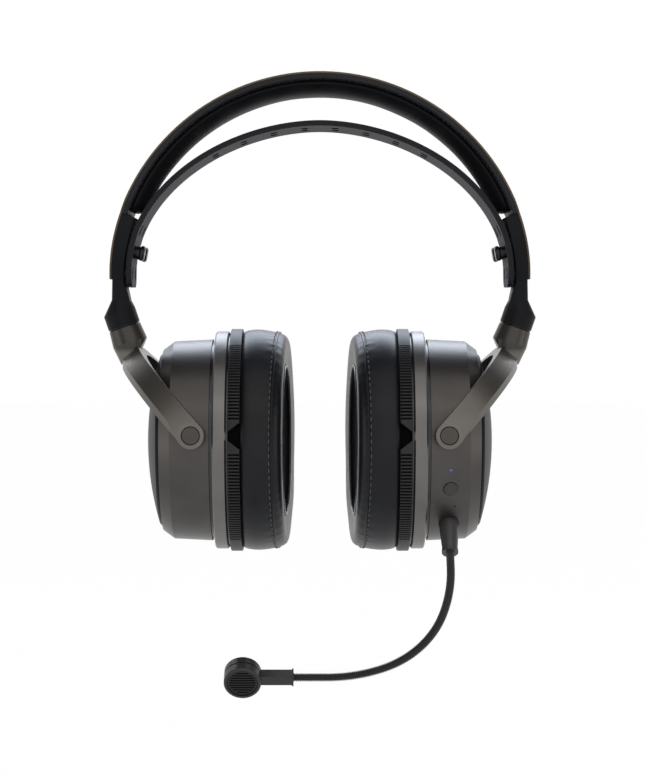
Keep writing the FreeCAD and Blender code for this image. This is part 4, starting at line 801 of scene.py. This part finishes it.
def crease(pad):
    """Shallow puckers beside the seam, and slow unevenness of the foam."""
    for vertex in pad.data.vertices:
        depth = PAD_START - vertex.co.x
        if depth <= SMOOTH_BACK:
            continue
        radius = math.hypot(vertex.co.y, vertex.co.z - CUP.z)
        angle = math.atan2(vertex.co.z - CUP.z, vertex.co.y)
        near = 0.0
        if radius > PAD_SEAM_R - PUCKER_INSIDE:
            near = math.exp(-((depth - seam_depth(angle)) / PUCKER_REACH) ** 2)
        wave = math.sin(angle * PUCKER_COUNT + 2.2 * math.sin(angle * 7)) * PUCKER_DEPTH * near
        slow = noise.noise(vertex.co * FOAM_SCALE) * FOAM_DEPTH
        vertex.co += vertex.normal * (wave + slow)


def seam_point(angle, lift, shift):
    """A point beside the pad's outer seam, lifted off the skin and shifted towards the crest."""
    return pad_point(angle, seam_depth(angle) + shift, PAD_SEAM_R + lift)


def pad_trim():
    """The piping and the stitches of the outer seam, and the fine bead round the opening."""
    turns = 360
    seam, bead = [], []
    for turn in range(turns):
        angle = 2 * math.pi * turn / turns
        seam.append(seam_point(angle, *PIPING_PLACE))
        edge = pad_hole_r(angle) + BEAD_OUT
        bead.append(pad_point(angle, crest_depth(angle, edge) - BEAD_DROP, edge))
    threads = []
    for stitch in range(PAD_STITCH_COUNT):
        ends = (2 * math.pi * (stitch + share) / PAD_STITCH_COUNT for share in (0.15, 0.8))
        threads.append([seam_point(end, *PAD_STITCH_PLACE) for end in ends])
    return (
        ring_tube("pad_piping_left", seam, PIPING_R),
        ring_tube("pad_bead_left", bead, BEAD_R),
        capsule_row("pad_stitches_left", threads, PAD_STITCH_R),
    )


def add_ear_pads():
    for pad in settled_pair(ear_pad(), LEATHER, "cup", "ear_pad"):
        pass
    # The bead gets the lighter leather of a painted highlight.
    for piece, look in zip(pad_trim(), (LEATHER, BEAD_HIGHLIGHT, THREAD)):
        settled_pair(piece, look, "cup")


# Ribbed rings

def rim_section(radius):
    """Points across the rim, from the pad's side to the bronze ring's side."""
    low, high, bevel = mount_low.x, mount_high.x, RIM_BEVEL
    return [
        (low, MOUNT_CORE_R), (low, MOUNT_R - bevel), (low + 0.3 * bevel, MOUNT_R - 0.3 * bevel),
        (low + bevel, radius), (high - bevel, radius),
        (high - 0.3 * bevel, MOUNT_R - 0.3 * bevel), (high, MOUNT_R - bevel), (high, MOUNT_CORE_R),
    ]


def rim_half(name, sign):
    """The ribbed rim above (1) or below (-1) the notches, with slanted ends at both notches."""
    low, high = mount_low.x, mount_high.x
    pitch = 2 * math.pi / RIB_COUNT
    start = math.asin((sign * NOTCH_UP + NOTCH_WIDE / 2) / MOUNT_R)
    first, last = math.ceil(start / pitch), math.floor((math.pi - start) / pitch)
    columns = [(start, False)]
    for rib in range(first, last):
        ribbed = abs(math.sin((rib + 0.5) * pitch)) * MOUNT_R < RIB_FREE_HEIGHT
        columns += [((rib + share) * pitch, deep and ribbed) for share, deep in RIB_SHAPE]
    columns += [(last * pitch, False), (math.pi - start, False)]
    points = []
    for index, (angle, deep) in enumerate(columns):
        for along, radius in rim_section(MOUNT_R - (RIB_DEPTH if deep else 0.0)):
            turn = angle
            if index in (0, len(columns) - 1):
                share = (along - low) / (high - low)
                offset = NOTCH_WIDE / 2 + (NOTCH_NARROW - NOTCH_WIDE) / 2 * share
                turn = math.asin((sign * NOTCH_UP + offset) / MOUNT_R)
                turn = math.pi - turn if index else turn
            points.append(Vector((along, -radius * math.cos(turn), CUP.z + sign * radius * math.sin(turn))))
    return mesh_piece(name, points, tube_faces(len(columns), len(points) // len(columns)))


def add_mount_rings():
    low, high = mount_low.x - CUP.x, mount_high.x - CUP.x
    outer = MOUNT_CORE_R + MOUNT_OVERLAP
    corners = ((low, MOUNT_BORE_R), (low, outer), (high, outer), (high, MOUNT_BORE_R))
    profile = rounded_outline([(*corner, MOUNT_CORE_ROUND) for corner in corners])
    core = lathe("mount_core", profile, CUP, X, Z)
    ring = joined("ribbed_ring_left", [core, rim_half("rim_upper", 1), rim_half("rim_lower", -1)])
    ring.data.set_sharp_from_angle(angle=math.radians(MOUNT_SHARP_DEG))
    for made in settled_pair(ring, RIBBED, "cup", "pad_mount"):
        made.data.materials.append(SHADE_BLACK)
        # The core seen in the notches and the bottoms of the rib grooves get painted shade.
        for polygon in made.data.polygons:
            radius = math.hypot(polygon.center.y, polygon.center.z - CUP.z)
            in_core = radius < MOUNT_CORE_R + 0.3 * MM
            in_groove = abs(radius - (MOUNT_R - RIB_DEPTH)) < 0.12 * MM
            if in_core or in_groove:
                polygon.material_index = 1


add_ear_pads()
add_mount_rings()


# Headband leather

def arch_frame(degrees, radius):
    """The point of the arch at an angle above its centre, and the outward direction there."""
    out = Vector((math.cos(math.radians(degrees)), 0, math.sin(math.radians(degrees))))
    return ARCH_CENTRE + out * radius, out


def liner_half(degrees):
    """Half the leather's width: full over the head, narrowing towards the arms."""
    height = ARCH_R * (math.sin(math.radians(degrees)) - math.sin(math.radians(LINER_END_DEG)))
    share = min(1.0, max(0.0, 0.5 + height / LINER_TAPER))
    return LINER_END_HALF + (LINER_HALF - LINER_END_HALF) * share * share * (3 - 2 * share)


def add_liner():
    """A leather-wrapped strip with rolled edges."""
    steps = 200
    thick = LINER_THICKNESS / 2
    points = []
    for index in range(steps + 1):
        degrees = LINER_END_DEG + (180 - 2 * LINER_END_DEG) * index / steps
        middle, out = arch_frame(degrees, LINER_R - thick)
        half = liner_half(min(degrees, 180 - degrees))
        hem, sunk = half - LINER_HEM, LINER_HEM_STEP - thick
        points += [middle + Y * across + out * up for across, up in rounded_outline([
            (half, -thick, LINER_ROLL), (half, thick, LINER_BACK_ROLL),
            (-half, thick, LINER_BACK_ROLL), (-half, -thick, LINER_ROLL),
            (-hem, sunk, LINER_HEM_ROLL), (hem, sunk, LINER_HEM_ROLL),
        ])]
    liner = mesh_piece("liner_skin", points, tube_faces(steps + 1, len(points) // (steps + 1)))
    settled(liner, LINER_LEATHER, "headband", "headband_liner")


def end_share(distance, reach, least):
    """A share that rises from its least at an end to 1 at the reach, like a quarter of an ellipse."""
    rise = 1.0 if distance > reach else math.sqrt(max(0.0, 1 - (1 - distance / reach) ** 2))
    return least + (1 - least) * rise


def add_cushion():
    """The crowned head cushion: one skin with a flat back, filled out by the cloth simulation."""
    steps, across_steps = 180, 30
    first, last = CUSHION_END_DEG, 180 - CUSHION_END_DEG
    points, held = [], []
    for index in range(steps + 1):
        degrees = first + (last - first) * index / steps
        end = math.radians(min(degrees - first, last - degrees)) * CUSHION_R
        back, out = arch_frame(degrees, CUSHION_R)
        half = CUSHION_HALF * end_share(end, CUSHION_TAPER, CUSHION_TAPER_SHARE)
        for column in range(across_steps + 1):
            across = -1 + 2 * column / across_steps
            crown = CUSHION_EDGE + (CUSHION_CROWN - CUSHION_EDGE) * (1 - abs(across) ** 2.2) ** 0.8
            thick = crown * end_share(end, CUSHION_FALL, CUSHION_FALL_SHARE)
            if column in (0, across_steps) or index in (0, steps):
                held.append(len(points))
            points.append(ARCH_CENTRE + out * (CUSHION_R - thick) + Y * (half * across))
        for column in range(across_steps - 1, 0, -3):
            held.append(len(points))
            points.append(back + Y * (half * (-1 + 2 * column / across_steps)))
    cushion = mesh_piece("cushion_skin", points, tube_faces(steps + 1, len(points) // (steps + 1)))
    fill_out(cushion, held, 2.5, 0.8 * MM)
    for vertex in cushion.data.vertices:
        vertex.co += vertex.normal * noise.noise(vertex.co * 60) * CUSHION_UNEVEN
    subdivided(cushion)
    settled(cushion, BAND_LEATHER, "headband", "headband_cushion")


def add_cushion_stitches():
    """Two rows of thread, along the seams between the cushion and the leather strip."""
    radius = CUSHION_R - 0.15 * MM
    first = CUSHION_END_DEG + BAND_STITCH_DEG
    run = 180 - 2 * first
    count = int(math.radians(run) * radius / BAND_STITCH_PITCH)
    places = []
    for side in (-1, 1):
        shift = Y * (side * (CUSHION_HALF + 0.35 * MM))
        for index in range(count):
            start = first + run * index / count
            end = start + math.degrees(BAND_STITCH_LENGTH / radius)
            places.append([arch_frame(degrees, radius)[0] + shift for degrees in (start, end)])
    settled(capsule_row("band_stitches", places, BAND_STITCH_R), SEAM, "headband")


add_liner()
add_cushion()
add_cushion_stitches()


# Suspension strap

def strap_line(inset):
    """Points of the strap's line from its left end over the top to its right end.

    inset is their distance from its outer face.
    """
    half_span, slope = strap_high.x, STRAP_POWER - 1
    turns = 240
    points = [Vector((half_span - inset, 0, strap_low.z))]
    for index in range(turns + 1):
        angle = math.pi * index / turns
        share_x, share_z = (abs(part) ** (2 / STRAP_POWER) for part in (math.cos(angle), math.sin(angle)))
        normal = Vector((share_x ** slope / half_span, 0, share_z ** slope / STRAP_RISE)).normalized()
        side = 1 if math.cos(angle) > 0 else -1
        points.append(Vector((side * (half_span * share_x - normal.x * inset), 0,
                              STRAP_SHOULDER + STRAP_RISE * share_z - normal.z * inset)))
    points.append(Vector((inset - half_span, 0, strap_low.z)))
    return points


class Line:
    """A polyline that gives its point and direction at a distance along it."""

    def __init__(self, points):
        self.points = points
        self.reach = [0.0]
        for a, b in zip(points, points[1:]):
            self.reach.append(self.reach[-1] + (b - a).length)
        self.length = self.reach[-1]

    def at(self, distance):
        distance = min(max(distance, 0.0), self.length)
        low = int(np.searchsorted(self.reach, distance, side="right")) - 1
        low = min(max(low, 0), len(self.points) - 2)
        span_length = self.reach[low + 1] - self.reach[low]
        share = (distance - self.reach[low]) / max(span_length, 1e-12)
        return self.points[low].lerp(self.points[low + 1], share)

    def direction(self, distance):
        step = 1.0 * MM
        return (self.at(distance + step) - self.at(distance - step)).normalized()


def slot_loop(centre_s, centre_y, length_s, length_y, steps=5):
    """A slot with rounded ends, as a loop of (along the strap, front to back)."""
    a, b = length_s / 2, length_y / 2
    radius = min(a, b) * 0.98
    loop = []
    for sx, sy in ((1, 1), (-1, 1), (-1, -1), (1, -1)):
        start = math.atan2(sy, sx) - math.pi / 4
        for step in range(steps + 1):
            angle = start + (math.pi / 2) * step / steps
            loop.append((centre_s + sx * (a - radius) + radius * math.cos(angle),
                         centre_y + sy * (b - radius) + radius * math.sin(angle)))
    return loop


QUARTER_CIRCLE = ((0, 1), (0.076, 0.617), (0.293, 0.293), (0.617, 0.076), (1, 0))


def strap_loops(line):
    """The flat strap's outline and its slots."""
    half = line.length / 2
    taper = half - (STRAP_TAPER - (strap_low.z - ARCH_CENTRE.z))
    quarter = [(half - STRAP_CORNER * s, STRAP_END_HALF - STRAP_CORNER * y) for s, y in QUARTER_CIRCLE]
    quarter += [(taper, STRAP_HALF), (taper - STRAP_TAPER_RUN, STRAP_HALF)]
    outline = []
    for side_s, side_y in ((1, 1), (-1, 1), (-1, -1), (1, -1)):
        part = [(side_s * s, side_y * y) for s, y in quarter]
        outline += part if side_s == side_y else part[::-1]
    slots = []
    for index in range(VENT_COUNT):
        along = (index - (VENT_COUNT - 1) / 2) * VENT_SPACING
        for row in (-1, 1):
            slots.append(slot_loop(along, row * VENT_HALF_SPACING, VENT_WIDTH, VENT_LENGTH))
    stud_z = ARCH_CENTRE.z + (strap_high.x + STUD_STAND) * math.sin(math.radians(STUD_DEG))
    stud_s = half - (stud_z - strap_low.z)
    for end in (-1, 1):
        for step in (-1, 0, 1):
            for row in (-1, 1):
                slots.append(slot_loop(end * (stud_s - step * HOLE_SPACING), row * STUD_HALF_SPACING,
                                       HOLE_LENGTH, HOLE_WIDTH))
    return outline, slots


def inside(loop, x, y):
    """Whether a point is inside a loop."""
    result = False
    for (x1, y1), (x2, y2) in zip(loop, loop[1:] + loop[:1]):
        if (y1 > y) != (y2 > y) and x < (x2 - x1) * (y - y1) / (y2 - y1) + x1:
            result = not result
    return result


def dense(loop, step):
    """The loop with points no further apart than a step."""
    points = []
    for (x1, y1), (x2, y2) in zip(loop, loop[1:] + loop[:1]):
        count = max(1, math.ceil(math.hypot(x2 - x1, y2 - y1) / step))
        points += [(x1 + (x2 - x1) * i / count, y1 + (y2 - y1) * i / count) for i in range(count)]
    return points


def plate(name, outline, holes, thickness, step):
    """A flat plate with holes, finely divided so that it can be bent."""
    def solid(x, y):
        return inside(outline, x, y) and not any(inside(hole, x, y) for hole in holes)

    rims, edges = [], []
    for loop in [outline, *holes]:
        first, part = len(rims), dense(loop, step)
        rims += part
        edges += [(first + i, first + (i + 1) % len(part)) for i in range(len(part))]
    points = list(rims)
    reach_x, reach_y = (max(values) for values in zip(*outline))
    for i in range(int(2 * reach_x / step)):
        for j in range(int(2 * reach_y / step)):
            x, y = -reach_x + (i + 0.5) * step, -reach_y + (j + 0.5) * step
            clear = all(math.hypot(x - px, y - py) > 0.6 * step for px, py in rims if abs(x - px) < step)
            if clear and solid(x, y):
                points.append((x, y))
    solved = delaunay_2d_cdt([Vector(p) for p in points], edges, [], 0, SAME_POINT)
    flat, triangles = solved[0], solved[2]
    kept = []
    for triangle in triangles:
        if solid(sum(flat[i].x for i in triangle) / 3, sum(flat[i].y for i in triangle) / 3):
            kept.append(list(triangle))
    count = len(flat)
    vertices = [(p.x, p.y, side * thickness / 2) for side in (1, -1) for p in flat]
    faces = kept + [[i + count for i in triangle][::-1] for triangle in kept]
    used = dict.fromkeys(edge for a, b, c in kept for edge in ((a, b), (b, c), (c, a)))
    faces += [[b, a, a + count, b + count] for a, b in used if (b, a) not in used]
    return mesh_piece(name, vertices, faces)


def colour_strap(strap):
    """The rubber's face; painted shade on its edges and outer side, and near-black painted shade on the walls
    of its slots.
    """
    painted(strap, STRAP)
    strap.data.materials.append(STRAP_SHADE)
    strap.data.materials.append(SHADE_BLACK)
    for polygon in strap.data.polygons:
        centre = polygon.center
        facing = polygon.normal.dot(Vector((centre.x, 0, centre.z - ARCH_CENTRE.z)).normalized())
        on_edge = abs(polygon.normal.y) > 0.5 and abs(centre.y) > STRAP_RIM
        in_slot = abs(facing) < 0.4 and abs(centre.y) < SLOTS_WITHIN
        # Painted shade: darker rubber on the edge walls and the outer side, near-black on the slot walls.
        if on_edge or facing > 0.5:
            polygon.material_index = 1
        elif in_slot and centre.z > strap_low.z + STRAP_CORNER / 2:
            polygon.material_index = 2


def add_strap():
    """The slotted strap, cut flat and then bent along its line."""
    line = Line(strap_line(STRAP_THICKNESS / 2))
    outline, slots = strap_loops(line)
    strap = plate("strap_skin", outline, slots, STRAP_THICKNESS, STRAP_MESH)
    bevelled(strap, STRAP_EDGE_R, STRAP_SHARP_DEG)
    applied(strap)
    for vertex in strap.data.vertices:
        along, across, up = vertex.co
        distance = line.length / 2 - along
        out = line.direction(distance).cross(Y)
        vertex.co = line.at(distance) + Y * across - out * up
    strap.data.update()
    turned_outwards(strap.data)
    strap.data.set_sharp_from_angle(angle=math.radians(STRAP_SHARP_DEG))
    colour_strap(strap)
    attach(strap, "headband")
    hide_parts("suspension_strap")


add_strap()


# Gooseneck

def neck_line(step):
    """Points of the gooseneck's middle line, with its straight runs and bends."""
    ahead = Vector(BOOM_TURN["axis"]).normalized()
    inward = -X
    points = [Vector(BOOM_TURN["pos_m"]) + ahead * NECK_INSIDE]
    for length, radius, degrees in NECK_RUNS:
        start, turn = points[-1], math.radians(degrees)
        centre = start + inward * radius
        count = math.ceil((length or turn * radius) / step)
        for index in range(1, count + 1):
            if length:
                points.append(start + ahead * (length * index / count))
            else:
                angle = turn * index / count
                points.append(centre - inward * radius * math.cos(angle) + ahead * radius * math.sin(angle))
        ahead, inward = (ahead * math.cos(turn) + inward * math.sin(turn),
                         inward * math.cos(turn) - ahead * math.sin(turn))
    return points


def add_gooseneck():
    """The boom's neck, with a rib to every pitch."""
    line = Line(neck_line(0.4 * MM))
    steps = int(line.length / NECK_PITCH * NECK_STATIONS)
    across = Vector(BOOM_TURN["axis"]).cross(X).normalized()
    points = []
    for index in range(steps + 1):
        distance = line.length * index / steps
        up = line.direction(distance).cross(across).normalized()
        wave = math.cos(distance / NECK_PITCH * 2 * math.pi)
        radius = NECK_R - NECK_RIB + NECK_RIB * math.copysign(abs(wave) ** NECK_RIB_POWER, wave)
        points += circle(line.at(distance), across, up, radius, NECK_SIDES)
    neck = mesh_piece("gooseneck_ribs", points, tube_faces(steps + 1, NECK_SIDES))
    settled(neck, NECK, "boom", "gooseneck")


add_gooseneck()

bpy.context.view_layer.update()
